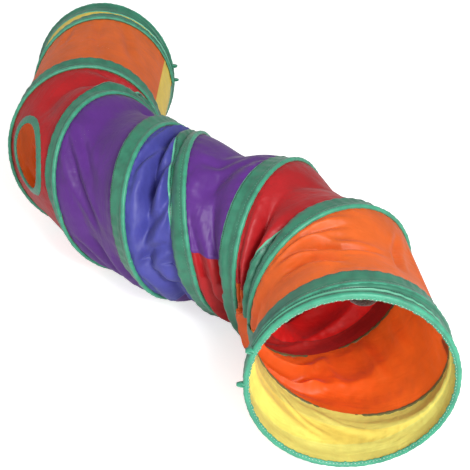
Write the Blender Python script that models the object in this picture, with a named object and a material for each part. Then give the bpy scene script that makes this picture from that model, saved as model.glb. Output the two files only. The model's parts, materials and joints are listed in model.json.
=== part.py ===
"""Cat tunnel: a tube of coloured nylon strips on one spring wire, lying open in an S.

The wire makes a ring at each mouth and seven and a half turns between them, all in a channel of
green binding tape. It bends anywhere, so each half turn is a body of its own here, and the halves
meet on upright hinges at the tunnel's sides: the tunnel stretches straight, bends, or packs flat.
"""

import math

import bmesh
import bpy
import numpy as np
from mathutils import Matrix, Vector

MM = 0.001

# The spring wire, the tape and the cloth, in metres.
COIL_DIAMETER = 250 * MM
CLOTH_PITCH = 180 * MM
SIDE_BY_SIDE = 12 * MM
WIRE_RADIUS = 1.25 * MM
TAPE_HALF_DEPTH = 3.0 * MM
TAPE_HALF_WIDTH = 3.5 * MM
TAPE_BORE = 2.25 * MM
TAPE_CHAMFER = 1.5 * MM
GAP = 0.3 * MM

# How far each hinge stands open, in degrees, from the front mouth to the back one. The first is on
# the tunnel's left, the next on its right, and so on. The cloth is taut at 42.
OPENINGS = (7, 21, 42, 11, 41, 17, 41, 22, 6, 35, 25, 42, 5, 42, 42, 21)

# How far the coil leans back for its height: the front ring, then from the first turn to the last.
RING_LEAN = 0.16
FIRST_LEAN = 0.08
LAST_LEAN = 0.36

# Facets of a half turn: an odd number, so that one lies flat on the floor.
FACETS = 13

# The strips, from the front mouth to the back one, sewn end to end.
STRIPS = ("yellow", "orange", "red", "purple", "blue", "purple", "red", "orange", "yellow")
CLOTH_RADIUS = 124 * MM
CLOTH_HALF_THICKNESS = 0.4 * MM
HEM_RISE = 1.0 * MM
CLOTH_TO_WIRE = 5 * MM
CLOTH_TO_LEAN = 7 * MM
NARROWEST_CLOTH = 8 * MM
COLUMNS = 5
SAG_SHARE = 0.10
DEEPEST_SAG = 12 * MM
STEEPEST_SAG = 0.25

# The peep hole, low on the outer side of the back bend, and its binding.
HOLE_TURNS = 6.06
HOLE_RUN = 90 * MM
HOLE_RADIUS = 46 * MM
BINDING_WIDTH = 9 * MM
BINDING_HALF_THICKNESS = 2.4 * MM
HOLE_POINTS = 24

# The toy ball, on its cord inside the front bend.
TOY_SIDEWAYS = 60 * MM
TOY_DROP = 121 * MM
BALL_DIAMETER = 58 * MM
CORD_RADIUS = 1.0 * MM
LOOP_RADIUS = 4.0 * MM
LOOP_HOLE_RADIUS = 2.4 * MM
LOOP_HALF_WIDTH = 4.0 * MM

# The crimp that closes a ring of wire, reaching over a share of a facet to each side, and the
# folded tape end sewn beside it.
CRIMP_RADIUS = 1.95 * MM
CRIMP_BORE = 1.55 * MM
CRIMP_REACH = 0.25
TAB_LENGTH = 9 * MM
TAB_HALF_HEIGHT = 4.5 * MM
TAB_HALF_WIDTH = 3.0 * MM
TAB_THICKNESS = 1.2 * MM

RADIUS = COIL_DIAMETER / 2
AXIS_HEIGHT = (RADIUS + TAPE_HALF_DEPTH) * math.cos(math.pi / (2 * FACETS))
HALF_TURNS = len(OPENINGS) + 1
ROOT = 8

COLOURS = {
    "green_tape": ((0.07, 0.30, 0.20), 0.45, 0.0),
    "spring_steel": ((0.35, 0.35, 0.36), 0.30, 1.0),
    "yellow_nylon": ((0.93, 0.74, 0.10), 0.40, 0.0),
    "orange_nylon": ((0.84, 0.19, 0.02), 0.40, 0.0),
    "red_nylon": ((0.50, 0.02, 0.02), 0.40, 0.0),
    "purple_nylon": ((0.16, 0.05, 0.32), 0.40, 0.0),
    "blue_nylon": ((0.10, 0.11, 0.45), 0.40, 0.0),
    "black_elastic": ((0.03, 0.03, 0.03), 0.80, 0.0),
    "dark_plush": ((0.025, 0.028, 0.025), 0.95, 0.0),
}


def material(name):
    """The shared material of this name, made the first time it is asked for."""
    found = bpy.data.materials.get(name)
    if found is None:
        colour, roughness, metallic = COLOURS[name]
        found = bpy.data.materials.new(name)
        found.use_nodes = True
        shader = found.node_tree.nodes["Principled BSDF"]
        shader.inputs["Base Color"].default_value = (*colour, 1.0)
        shader.inputs["Roughness"].default_value = roughness
        shader.inputs["Metallic"].default_value = metallic
        found.diffuse_color = (*colour, 1.0)
    return found


def finished_mesh(name, bm, slot, sharp=35.0):
    """A mesh with outward faces, smooth except over its sharp edges."""
    bmesh.ops.recalc_face_normals(bm, faces=bm.faces)
    if bm.calc_volume(signed=True) < 0:
        bmesh.ops.reverse_faces(bm, faces=bm.faces)
    mesh = bpy.data.meshes.new(name)
    bm.to_mesh(mesh)
    bm.free()
    mesh.materials.append(material(slot))
    mesh.shade_smooth()
    mesh.set_sharp_from_angle(angle=math.radians(sharp))
    return mesh


def placed(name, mesh, parent, at=(0, 0, 0)):
    """An object of this mesh, at a place in its parent's frame."""
    piece = bpy.data.objects.new(name, mesh)
    bpy.context.scene.collection.objects.link(piece)
    piece.parent = parent
    piece.location = at
    return piece


def across(angle):
    """The direction from the tunnel's left to its right, in a half turn's plane."""
    return Vector((math.cos(angle), math.sin(angle)))


def backward(angle):
    """The direction towards the back mouth, square to a half turn's plane."""
    return Vector((-math.sin(angle), math.cos(angle)))


def body_name(index):
    """front_ring, turn_1_top, turn_1_bottom, turn_2_top and so on, to back_ring."""
    if index == 0:
        return "front_ring"
    if index == HALF_TURNS - 1:
        return "back_ring"
    half = "top" if index % 2 else "bottom"
    return f"turn_{(index + 1) // 2}_{half}"


def lean_of(index):
    """How far back a half turn lies for each metre of height above the hinges."""
    if index == 0:
        return RING_LEAN
    last = HALF_TURNS - 2
    return FIRST_LEAN + (LAST_LEAN - FIRST_LEAN) * (min(index, last) - 1) / (last - 1)


def lay_out():
    """The plan: each half turn's angle and centre, and each hinge's place, from the front mouth."""
    angles, centres, hinges = [0.0], [Vector((0, 0))], []
    corner = centres[0] - across(0) * RADIUS + backward(0) * SIDE_BY_SIDE
    for number, opening in enumerate(OPENINGS):
        side = 1 if number % 2 == 0 else -1
        angle = angles[-1] + side * math.radians(opening)
        hinges.append(corner)
        centre = corner + across(angle) * RADIUS * side
        corner = corner + across(angle) * COIL_DIAMETER * side
        angles.append(angle)
        centres.append(centre)
    centres[-1] = centres[-1] + backward(angles[-1]) * SIDE_BY_SIDE
    return angles, centres, hinges


ANGLES, CENTRES, HINGES = lay_out()


def legs(half):
    """The stretches of cloth from the wire of one half turn to the next wire behind it.

    A stretch turns about a hinge, or runs straight where a ring lies beside its neighbour.
    """
    found = []
    for hinge in range(max(half - 1, 0), min(half, HALF_TURNS - 2) + 1):
        if hinge == 0:
            found.append(("straight", 0))
        found.append(("turn", hinge))
        if hinge == HALF_TURNS - 2:
            found.append(("straight", HALF_TURNS - 1))
    return found


def leg_length(leg, lateral):
    """How much cloth a stretch takes, at a sideways place in its plane."""
    kind, number = leg
    if kind == "straight":
        return SIDE_BY_SIDE
    side = 1 if number % 2 == 0 else -1
    return (RADIUS + side * lateral) * math.radians(OPENINGS[number])


def run_length(half, lateral):
    """The cloth from wire to wire, at a sideways place."""
    return sum(leg_length(leg, lateral) for leg in legs(half))


def plane_along(half, lateral, run):
    """The centre and angle of the upright plane that the cloth crosses after this much run."""
    stretches = legs(half)
    for leg in stretches:
        length = leg_length(leg, lateral)
        if run <= length or leg is stretches[-1]:
            break
        run -= length
    kind, number = leg
    if kind == "straight":
        centre = CENTRES[number] + backward(ANGLES[number]) * run
        if number:
            centre = centre - backward(ANGLES[number]) * SIDE_BY_SIDE
        return centre, ANGLES[number]
    side = 1 if number % 2 == 0 else -1
    arm = RADIUS + side * lateral
    angle = ANGLES[number] + side * run / max(arm, MM)
    return HINGES[number] + across(angle) * RADIUS * side, angle


def lean_along(half, lateral, run):
    """The cloth's lean, which goes over from one wire's to the next one's between their tapes."""
    front, back = lean_of(max(half - 1, 0)), lean_of(min(half + 1, HALF_TURNS - 1))
    share = (run - CLOTH_TO_LEAN) / max(run_length(half, lateral) - 2 * CLOTH_TO_LEAN, MM)
    return front + (back - front) * min(max(share, 0.0), 1.0)


def polar(half_turns):
    """The half turn that a place along the wire is in, and its angle round the plane.

    Places are counted in half turns from the front mouth's left: over the top, then back beneath.
    A place where two of them meet belongs to the one nearer the tunnel's middle.
    """
    half = math.ceil(half_turns) - 1 if half_turns > ROOT else math.floor(half_turns)
    share = half_turns - half
    angle = math.pi * (1 - share) if half % 2 == 0 else -math.pi * share
    return half, angle


def cloth_point(half_turns, run, proud=0.0):
    """A point of the cloth, this far behind the wire and this far proud of the cloth's middle."""
    half, angle = polar(half_turns)
    lateral = CLOTH_RADIUS * math.cos(angle)
    centre, plane = plane_along(half, lateral, run)
    rise = (CLOTH_RADIUS + proud) * math.sin(angle)
    spot = centre + across(plane) * (CLOTH_RADIUS + proud) * math.cos(angle)
    spot += backward(plane) * lean_along(half, lateral, run) * rise
    return Vector((spot.x, spot.y, AXIS_HEIGHT + rise))


def coil_stations(first, last):
    """Facet corners from one half turn to another, as (sideways, up, lift).

    Half turns are counted from the left: over the top, back beneath, and over again. The ends are
    lifted off the level of the hinges by half the gap that lies between two bodies.
    """
    found = []
    for step in range(first * FACETS, last * FACETS + 1):
        angle = math.pi * (1 - step / FACETS)
        lift = 0.0
        if step == first * FACETS:
            lift = GAP / 2 if first % 2 == 0 else -GAP / 2
        elif step == last * FACETS:
            lift = GAP / 2 if last % 2 else -GAP / 2
        found.append((math.cos(angle), math.sin(angle), lift))
    return found


def swept(stations, rims, lean):
    """A leaning tube round stations, from rims of (outward, along) points; a second rim is a bore."""
    bm = bmesh.new()
    grids = []
    for rim in rims:
        grids.append([
            [
                bm.verts.new((
                    (RADIUS + out) * x, along + lean * (RADIUS + out) * z, (RADIUS + out) * z + lift
                ))
                for out, along in rim
            ]
            for x, z, lift in stations
        ])
    for grid in grids:
        for here, there in zip(grid, grid[1:]):
            for k in range(len(here)):
                bm.faces.new((here[k - 1], here[k], there[k], there[k - 1]))
    for end in (0, -1):
        outer = grids[0][end]
        if len(grids) == 1:
            bm.faces.new(outer)
            continue
        bore = grids[1][end]
        nearest = [bore[k * len(bore) // len(outer)] for k in range(len(outer))]
        for k in range(len(outer)):
            corners = [outer[k - 1], outer[k], nearest[k]]
            if nearest[k - 1] is not nearest[k]:
                corners.append(nearest[k - 1])
            bm.faces.new(corners)
    return bm


def regular_rim(radius, sides):
    """A regular polygon, as (outward, along) points."""
    turn = 2 * math.pi / sides
    return [(radius * math.cos(turn * k), radius * math.sin(turn * k)) for k in range(sides)]


def tape_rims():
    """The folded tape round the wire: a chamfered channel and its bore, with as many points."""
    deep, wide, cut = TAPE_HALF_DEPTH, TAPE_HALF_WIDTH, TAPE_CHAMFER
    outer = [
        (deep, wide - cut), (deep - cut, wide), (cut - deep, wide), (-deep, wide - cut),
        (-deep, cut - wide), (cut - deep, -wide), (deep - cut, -wide), (deep, cut - wide),
    ]
    inner = [
        (TAPE_BORE, TAPE_BORE), (-TAPE_BORE, TAPE_BORE),
        (-TAPE_BORE, -TAPE_BORE), (TAPE_BORE, -TAPE_BORE),
    ]
    return outer, inner


def coil_span(index):
    """The half turns that a body's wire covers, counted as coil_stations counts them."""
    if index == 0:
        return 0, 2
    if index == HALF_TURNS - 1:
        return 1, 3
    return (0, 1) if index % 2 else (1, 2)


def pivot_of(index):
    """A body's pivot in the plan: the hinge to its neighbour nearer the middle."""
    if index == ROOT:
        return CENTRES[index]
    return HINGES[index] if index < ROOT else HINGES[index - 1]


def pivot_empties(tunnel):
    """An empty for each body, on its pivot and turned with its half turn."""
    empties = []
    for index in range(HALF_TURNS):
        empty = bpy.data.objects.new(f"frame_{body_name(index)}", None)
        bpy.context.scene.collection.objects.link(empty)
        empty.parent = tunnel
        empty.location = (*pivot_of(index), 0)
        empty.rotation_euler.z = ANGLES[index]
        empties.append(empty)
    return empties


def local_to(index, point):
    """A point of the tunnel, in the frame of a body's empty."""
    plan = Vector((point.x, point.y)) - pivot_of(index)
    angle = ANGLES[index]
    return Vector((plan.dot(across(angle)), plan.dot(backward(angle)), point.z))


def centre_from(index):
    """The centre of a half turn, in its own empty's frame."""
    return local_to(index, Vector((*CENTRES[index], AXIS_HEIGHT)))


def build_coil(empties):
    """The wire and its tape: a ring at each mouth and fifteen half turns between them."""
    rims = {"tape": (tape_rims(), "green_tape"), "wire": ([regular_rim(WIRE_RADIUS, 6)], "spring_steel")}
    for index, empty in enumerate(empties):
        stations = coil_stations(*coil_span(index))
        for kind, (sections, slot) in rims.items():
            name = f"{kind}_{body_name(index)}"
            mesh = finished_mesh(name, swept(stations, sections, lean_of(index)), slot)
            placed(name, mesh, empty, centre_from(index))


def cloth_slack(half_turns):
    """How much more cloth than room there is between two wires, at a place along the wire."""
    half, angle = polar(half_turns)
    cut = CLOTH_PITCH * min(half_turns / 2, 1, (HALF_TURNS - half_turns) / 2)
    return max(cut - run_length(half, CLOTH_RADIUS * math.cos(angle)), 0.0)


def cloth_room(half_turns):
    """The room for cloth between two wires, clear of both."""
    half, angle = polar(half_turns)
    return run_length(half, CLOTH_RADIUS * math.cos(angle)) - 2 * CLOTH_TO_WIRE


def strip_stations(number):
    """Places along the wire where a strip has its sections: its ends and every facet's corner."""
    length = HALF_TURNS / len(STRIPS)
    seam = GAP / 2 / (math.pi * CLOTH_RADIUS)
    start, end = number * length + seam, (number + 1) * length - seam
    inner = [step / FACETS for step in range(HALF_TURNS * FACETS + 1)]
    found = [start] + [at for at in inner if start + seam < at < end - seam] + [end]
    return [at for at in found if cloth_room(at) >= NARROWEST_CLOTH]


def cloth_row(half_turns, proud=0.0):
    """The cloth's points from one wire to the next, sagging where there is more cloth than room."""
    room = cloth_room(half_turns)
    sag = min(DEEPEST_SAG, SAG_SHARE * cloth_slack(half_turns), STEEPEST_SAG * room)
    row = []
    for column in range(COLUMNS):
        drop = sag if 0 < column < COLUMNS - 1 else 0.0
        run = CLOTH_TO_WIRE + room * column / (COLUMNS - 1)
        row.append(cloth_point(half_turns, run, proud - drop))
    return row


def strip_section(half_turns):
    """The points round a strip's edge: its outer face with a thick hem at the front, then inner."""
    outer = cloth_row(half_turns, CLOTH_HALF_THICKNESS)
    outer[0] = cloth_row(half_turns, CLOTH_HALF_THICKNESS + HEM_RISE)[0]
    return outer + cloth_row(half_turns, -CLOTH_HALF_THICKNESS)[::-1]


def build_strip(number, colour, empties):
    """One strip of nylon, wound nearly once round the tunnel between two turns of the wire."""
    stations = strip_stations(number)
    index = min(int((stations[0] + stations[-1]) / 2), HALF_TURNS - 1)
    bm = bmesh.new()
    rings = [
        [bm.verts.new(local_to(index, point)) for point in strip_section(at)]
        for at in stations
    ]
    for here, there in zip(rings, rings[1:]):
        for k in range(len(here)):
            a, b, c, d = here[k - 1], here[k], there[k], there[k - 1]
            # The outer face and the inner one are split alike, so that neither cuts the other.
            if k < COLUMNS:
                a, b, c, d = b, c, d, a
            bm.faces.new((a, b, c))
            bm.faces.new((c, d, a))
    for ring in (rings[0], rings[-1]):
        for k in range(COLUMNS - 1):
            bm.faces.new((ring[k], ring[k + 1], ring[-k - 2], ring[-k - 1]))
    mesh = finished_mesh(f"panel_{number + 1}_{colour}", bm, f"{colour}_nylon", sharp=60.0)
    return placed(mesh.name, mesh, empties[index])


def hole_point(angle, reach, proud):
    """A point on the faceted cloth round the peep hole, this far from the hole's centre."""
    facet = (2 * HOLE_TURNS + reach * math.sin(angle) / (math.pi * CLOTH_RADIUS)) * FACETS
    share = (HOLE_RUN - CLOTH_TO_WIRE + reach * math.cos(angle)) / cloth_room(2 * HOLE_TURNS)
    column = math.floor(share * (COLUMNS - 1))
    ends = []
    for station in (math.floor(facet), math.floor(facet) + 1):
        row = cloth_row(station / FACETS, proud)
        ends.append(row[column].lerp(row[column + 1], share * (COLUMNS - 1) - column))
    return ends[0].lerp(ends[1], facet - math.floor(facet))


def cut_peep_hole(panel, empties):
    """The hole through the cloth, cut by a plug that follows the cloth's curve."""
    index = int(2 * HOLE_TURNS)
    bm = bmesh.new()
    rims = []
    for proud in (-20 * MM, 6 * MM):
        rims.append([
            bm.verts.new(local_to(index, hole_point(2 * math.pi * k / HOLE_POINTS, HOLE_RADIUS, proud)))
            for k in range(HOLE_POINTS)
        ])
    for k in range(HOLE_POINTS):
        bm.faces.new((rims[0][k - 1], rims[0][k], rims[1][k], rims[1][k - 1]))
    for rim, proud in zip(rims, (-20 * MM, 6 * MM)):
        middle = bm.verts.new(local_to(index, hole_point(0, 0, proud)))
        for k in range(HOLE_POINTS):
            bm.faces.new((rim[k - 1], rim[k], middle))
    mesh = finished_mesh("peep_hole_cutter", bm, "red_nylon")
    cutter = placed("peep_hole_cutter", mesh, empties[index])
    cutter.hide_render = True
    cutter.display_type = "WIRE"
    cut = panel.modifiers.new("peep hole", "BOOLEAN")
    cut.operation = "DIFFERENCE"
    cut.object = cutter
    cut.solver = "EXACT"


def build_binding(index, empties):
    """The binding that is folded round the peep hole's edge, with a slot for the cloth."""
    near, far = HOLE_RADIUS - BINDING_WIDTH / 2, HOLE_RADIUS + BINDING_WIDTH / 2
    slot = CLOTH_HALF_THICKNESS + 4 * GAP
    high = BINDING_HALF_THICKNESS
    rim = (
        (near, -high), (far, -high), (far, -slot), (HOLE_RADIUS - GAP, -slot),
        (HOLE_RADIUS - GAP, slot), (far, slot), (far, high), (near, high),
    )
    bm = bmesh.new()
    rings = []
    for k in range(HOLE_POINTS):
        angle = 2 * math.pi * k / HOLE_POINTS
        rings.append([bm.verts.new(local_to(index, hole_point(angle, *place))) for place in rim])
    for k in range(HOLE_POINTS):
        here, there = rings[k - 1], rings[k]
        for i in range(len(rim)):
            bm.faces.new((here[i - 1], here[i], there[i], there[i - 1]))
    placed("peep_hole_binding", finished_mesh("peep_hole_binding", bm, "green_tape"), empties[index])


def build_crimp(name, index, empties):
    """The steel sleeve pressed over the wire's ends where a ring closes, at its open side."""
    side = -1 if index == 0 else 1
    facet = math.pi / FACETS
    stations = []
    for share in (-CRIMP_REACH, 0, CRIMP_REACH):
        inset = (1 - math.cos(facet)) * abs(share)
        stations.append((side * (1 - inset), math.sin(facet) * share, 0.0))
    rims = [regular_rim(CRIMP_RADIUS, 8), regular_rim(CRIMP_BORE, 8)]
    bm = swept(stations, rims, lean_of(index))
    placed(name, finished_mesh(name, bm, "spring_steel"), empties[index], centre_from(index))


def build_tape_end(name, index, empties):
    """The tape's folded end, sewn to the outside of a ring: a small loop, open on its lower edge."""
    side = -1 if index == 0 else 1
    root = RADIUS + TAPE_HALF_DEPTH + GAP
    long, high, thick = TAB_LENGTH, TAB_HALF_HEIGHT, TAB_THICKNESS
    outline = (
        (0, -high), (0, high - thick), (thick, high), (long - thick, high), (long, high - thick),
        (long, -high), (long - thick, -high), (long - thick, high - thick),
        (thick, high - thick), (thick, -high),
    )
    bm = bmesh.new()
    front, back = (
        [bm.verts.new((side * (root + out), along, up)) for out, up in outline]
        for along in (-TAB_HALF_WIDTH, TAB_HALF_WIDTH)
    )
    for k in range(len(outline)):
        bm.faces.new((front[k - 1], front[k], back[k], back[k - 1]))
    bm.faces.new(front)
    bm.faces.new(back)
    bmesh.ops.triangulate(bm, faces=[face for face in bm.faces if len(face.verts) > 4])
    placed(name, finished_mesh(name, bm, "green_tape"), empties[index], centre_from(index))


def toy_anchor(lean):
    """Where the toy's loop hangs from the centre of its leaning half turn: sideways, along, and up."""
    inside = (RADIUS - TAPE_HALF_DEPTH) * math.cos(math.pi / (2 * FACETS))
    reach = TOY_SIDEWAYS + LOOP_HALF_WIDTH
    rise = math.sqrt(inside**2 - reach**2) - LOOP_RADIUS - 2 * GAP
    return Vector((TOY_SIDEWAYS, lean * rise, rise))


def build_toy(empties):
    """A plush ball on an elastic cord, knotted below a loop that is sewn inside the second turn."""
    index = 3
    anchor = centre_from(index) + toy_anchor(lean_of(index))
    bm = bmesh.new()
    rims = []
    for along in (-LOOP_HALF_WIDTH, LOOP_HALF_WIDTH):
        for radius in (LOOP_RADIUS, LOOP_HOLE_RADIUS):
            rims.append([
                bm.verts.new((along, radius * math.cos(a), radius * math.sin(a)))
                for a in (2 * math.pi * k / 12 for k in range(12))
            ])
    for outer, inner in ((rims[0], rims[2]), (rims[1], rims[3]), (rims[0], rims[1]), (rims[2], rims[3])):
        for k in range(12):
            bm.faces.new((outer[k - 1], outer[k], inner[k], inner[k - 1]))
    placed("toy_loop", finished_mesh("toy_loop", bm, "green_tape"), empties[index], anchor)

    pivot = bpy.data.objects.new("frame_toy", None)
    bpy.context.scene.collection.objects.link(pivot)
    pivot.parent = empties[index]
    pivot.location = anchor
    ball_top = TOY_DROP - BALL_DIAMETER / 2
    knot_radius = 2.5 * MM
    knot_low = LOOP_RADIUS + GAP + 2 * knot_radius
    profile = [
        (LOOP_RADIUS + GAP, 0.6 * knot_radius), (LOOP_RADIUS + GAP + 0.6 * knot_radius, knot_radius),
        (knot_low - 0.6 * knot_radius, knot_radius), (knot_low, CORD_RADIUS), (ball_top - GAP, CORD_RADIUS),
    ]
    bm = bmesh.new()
    rings = [
        [bm.verts.new((r * math.cos(a), r * math.sin(a), -down)) for a in (math.pi * k / 4 for k in range(8))]
        for down, r in profile
    ]
    for here, there in zip(rings, rings[1:]):
        for k in range(8):
            bm.faces.new((here[k - 1], here[k], there[k], there[k - 1]))
    bm.faces.new(rings[0])
    bm.faces.new(rings[-1])
    placed("toy_cord", finished_mesh("toy_cord", bm, "black_elastic"), pivot)
    bm = bmesh.new()
    bmesh.ops.create_uvsphere(bm, u_segments=18, v_segments=12, radius=BALL_DIAMETER / 2)
    placed("toy_ball", finished_mesh("toy_ball", bm, "dark_plush"), pivot, (0, 0, -TOY_DROP))


def stand_on_origin(tunnel):
    """Moves the whole tunnel so that its box is centred on the origin and stands on the floor."""
    bpy.context.view_layer.update()
    corners = []
    for piece in bpy.context.scene.objects:
        if piece.type == "MESH" and not piece.hide_render:
            corners += [piece.matrix_world @ vertex.co for vertex in piece.data.vertices]
    spots = np.array(corners)
    low, high = spots.min(axis=0), spots.max(axis=0)
    tunnel.location = (-(low[0] + high[0]) / 2, -(low[1] + high[1]) / 2, -low[2])
    bpy.context.view_layer.update()
    print("size of the tunnel in mm", np.round((high - low) / MM, 1))


def main():
    for old in list(bpy.data.objects):
        bpy.data.objects.remove(old, do_unlink=True)
    tunnel = bpy.data.objects.new("tunnel", None)
    bpy.context.scene.collection.objects.link(tunnel)
    empties = pivot_empties(tunnel)
    build_coil(empties)
    panels = [build_strip(number, colour, empties) for number, colour in enumerate(STRIPS)]
    holed = int(HOLE_TURNS * 2 * len(STRIPS) / HALF_TURNS)
    cut_peep_hole(panels[holed], empties)
    build_binding(int(2 * HOLE_TURNS), empties)
    build_crimp("crimp_front", 0, empties)
    build_crimp("crimp_back", HALF_TURNS - 1, empties)
    build_tape_end("tape_end_front", 0, empties)
    build_tape_end("tape_end_back", HALF_TURNS - 1, empties)
    build_toy(empties)
    stand_on_origin(tunnel)
    spacing = [COIL_DIAMETER * 2 * math.sin(math.radians(o) / 2) / MM for o in OPENINGS]
    print("least gap between two turns in mm", round(min(spacing) - 2 * TAPE_HALF_WIDTH / MM, 1))


main()
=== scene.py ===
# %% [markdown]
# # Cat tunnel
# A collapsible play tunnel: nine strips of nylon on one spring wire, lying open in an S. The CAD
# model says where each half turn of the wire stands. This script dresses it: cloth that hangs
# between the turns, folded binding tape, a bound peep hole and a plush toy.

import json
import math

import bmesh
import bpy
import numpy as np
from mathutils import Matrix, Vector, noise


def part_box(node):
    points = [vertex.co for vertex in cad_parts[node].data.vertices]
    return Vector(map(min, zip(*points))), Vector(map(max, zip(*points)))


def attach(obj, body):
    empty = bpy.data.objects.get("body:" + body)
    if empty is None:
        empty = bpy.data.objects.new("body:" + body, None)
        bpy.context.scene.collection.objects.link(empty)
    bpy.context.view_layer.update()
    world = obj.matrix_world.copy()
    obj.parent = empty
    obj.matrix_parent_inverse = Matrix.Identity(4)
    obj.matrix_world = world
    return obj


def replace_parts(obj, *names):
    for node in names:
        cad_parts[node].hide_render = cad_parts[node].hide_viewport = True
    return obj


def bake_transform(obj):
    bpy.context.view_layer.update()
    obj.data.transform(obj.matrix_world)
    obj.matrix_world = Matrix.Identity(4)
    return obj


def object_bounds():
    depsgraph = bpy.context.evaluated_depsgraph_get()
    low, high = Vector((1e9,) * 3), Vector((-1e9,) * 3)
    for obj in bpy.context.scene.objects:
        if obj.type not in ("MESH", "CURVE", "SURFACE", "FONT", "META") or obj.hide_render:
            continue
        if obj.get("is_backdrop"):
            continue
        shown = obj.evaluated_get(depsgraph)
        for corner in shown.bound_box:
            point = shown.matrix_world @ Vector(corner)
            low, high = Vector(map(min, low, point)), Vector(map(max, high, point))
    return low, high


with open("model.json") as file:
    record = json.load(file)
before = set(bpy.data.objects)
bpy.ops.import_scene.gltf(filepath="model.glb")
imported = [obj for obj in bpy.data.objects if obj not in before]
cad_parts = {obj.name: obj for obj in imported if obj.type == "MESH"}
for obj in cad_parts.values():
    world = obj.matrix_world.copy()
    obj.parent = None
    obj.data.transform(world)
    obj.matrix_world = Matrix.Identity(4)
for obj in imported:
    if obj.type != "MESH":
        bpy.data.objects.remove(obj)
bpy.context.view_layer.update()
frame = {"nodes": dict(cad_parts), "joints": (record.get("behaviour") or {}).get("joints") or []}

# %% [markdown]
# ## The camera
# The picture was taken from above the front mouth with a longish lens. The place and the lens were
# fitted to the turns of the wire, so every piece can be compared with the picture from the start.

# %% The camera
LENS = 65.8
CAMERA_AT = (0.0580, -1.0693, 0.8925)
CAMERA_TURN = (51.55, 0, 0.33)

camera_data = bpy.data.cameras.new("camera")
camera_data.lens = LENS
camera_data.sensor_width = 36
camera = bpy.data.objects.new("camera", camera_data)
bpy.context.scene.collection.objects.link(camera)
camera.location = CAMERA_AT
camera.rotation_euler = [math.radians(turn) for turn in CAMERA_TURN]
bpy.context.scene.camera = camera
bpy.context.scene.view_settings.view_transform = "Standard"
print("camera at", CAMERA_AT)

# %% [markdown]
# ## Where the turns stand
# The wire's half turns meet on upright hinges at the tunnel's sides. Each half turn runs from one
# hinge to the next, so the hinges alone give its direction and its middle. Reading them from the
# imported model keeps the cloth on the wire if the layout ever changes. The half turns also lean
# back, less at the front mouth and more at the back, which is said here once more. RADIUS is the
# wire's own, AROUND is the length of half a turn, PITCH is the cloth that was cut from one turn of
# the wire to the next, and each ring is sewn BESIDE the turn that it closes, at its own angle to it.

# %% Hinges, directions and middles of the half turns
RADIUS = 0.125
AROUND = math.pi * RADIUS
PITCH = 0.174
BESIDE = 0.012
RING_ANGLES = (math.radians(-7), math.radians(-21))

swings = [j for j in frame["joints"] if j["name"].startswith("hinge_")]
swings.sort(key=lambda j: int(j["name"].split("_")[1]))
HINGES = np.array([j["pos_m"][:2] for j in swings])
AXIS = swings[0]["pos_m"][2]
LAST = len(swings)
BODIES = ["front_ring"]
for turn in range(1, LAST):
    BODIES.append(f"turn_{(turn + 1) // 2}_{'top' if turn % 2 else 'bottom'}")
BODIES.append("back_ring")


def across(angle):
    """The direction from the tunnel's left to its right."""
    return np.stack([np.cos(angle), np.sin(angle)], axis=-1)


def backward(angle):
    """The direction towards the back mouth."""
    return np.stack([-np.sin(angle), np.cos(angle)], axis=-1)


def turn_angles():
    """The direction of each half turn's plane, from its left hinge to its right one."""
    found = []
    for k in range(1, LAST):
        to_right = (HINGES[k] - HINGES[k - 1]) * (1 if k % 2 else -1)
        found.append(math.atan2(to_right[1], to_right[0]))
    return np.array([found[0] + RING_ANGLES[0]] + found + [found[-1] + RING_ANGLES[1]])


ANGLES = turn_angles()
MIDDLES = np.zeros((LAST + 1, 2))
MIDDLES[1:LAST] = (HINGES[:-1] + HINGES[1:]) / 2
MIDDLES[0] = HINGES[0] + across(ANGLES[0]) * RADIUS - backward(ANGLES[0]) * BESIDE
MIDDLES[LAST] = HINGES[-1] - across(ANGLES[LAST]) * RADIUS + backward(ANGLES[LAST]) * BESIDE
LEANS = np.array([0.16] + [0.08 + 0.02 * k for k in range(LAST - 1)] + [0.36])
print("turn directions in degrees", np.round(np.degrees(ANGLES)).astype(int).tolist())

# %% [markdown]
# ## The toy's cord
# A thin elastic hangs from a loop of tape inside the second turn and carries the ball. It is 88 mm of 2
# mm cord. A bevelled curve could show it; a tube swept in mesh code lets the cord's braid follow it.

# %% Meshes from points


def link_mesh(name, points, faces):
    """A new object of these points and faces."""
    mesh = bpy.data.meshes.new(name)
    mesh.from_pydata([tuple(map(float, p)) for p in points], [], faces)
    mesh.update()
    made = bpy.data.objects.new(name, mesh)
    bpy.context.scene.collection.objects.link(made)
    return made


def rings_of_faces(rows, columns, closed=False):
    """The faces of a grid whose rows are rings, and whose last row meets the first if it's closed."""
    faces = []
    for row in range(rows if closed else rows - 1):
        here, there = row * columns, (row + 1) % rows * columns
        for k in range(columns):
            after = (k + 1) % columns
            faces.append((here + k, here + after, there + after, there + k))
    return faces


def tube(name, line, radii, sides=12):
    """A closed round tube along a line of points, with a radius at each."""
    points = []
    line = np.asarray(line, float)
    tangents = np.gradient(line, axis=0)
    side = np.cross(tangents[0], (0.3, 0.9, 0.2))
    for spot, tangent, radius in zip(line, tangents, radii):
        tangent = tangent / np.linalg.norm(tangent)
        side = side - tangent * (side @ tangent)
        side = side / np.linalg.norm(side)
        other = np.cross(tangent, side)
        for k in range(sides):
            turn = 2 * math.pi * k / sides
            points.append(spot + radius * (math.cos(turn) * side + math.sin(turn) * other))
    faces = rings_of_faces(len(line), sides)
    faces.append(tuple(reversed(range(sides))))
    faces.append(tuple(range(len(points) - sides, len(points))))
    made = link_mesh(name, points, faces)
    made.data.shade_smooth()
    return made


print("a tube of 24 rings has", len(rings_of_faces(24, 12)), "faces round it")

# %% The cord
BALL_RADIUS = 0.029
BALL_DROP = 0.121
CORD_DROP = 0.0043
CORD_LENGTH = 0.088
CORD_RADIUS = 0.001

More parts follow.
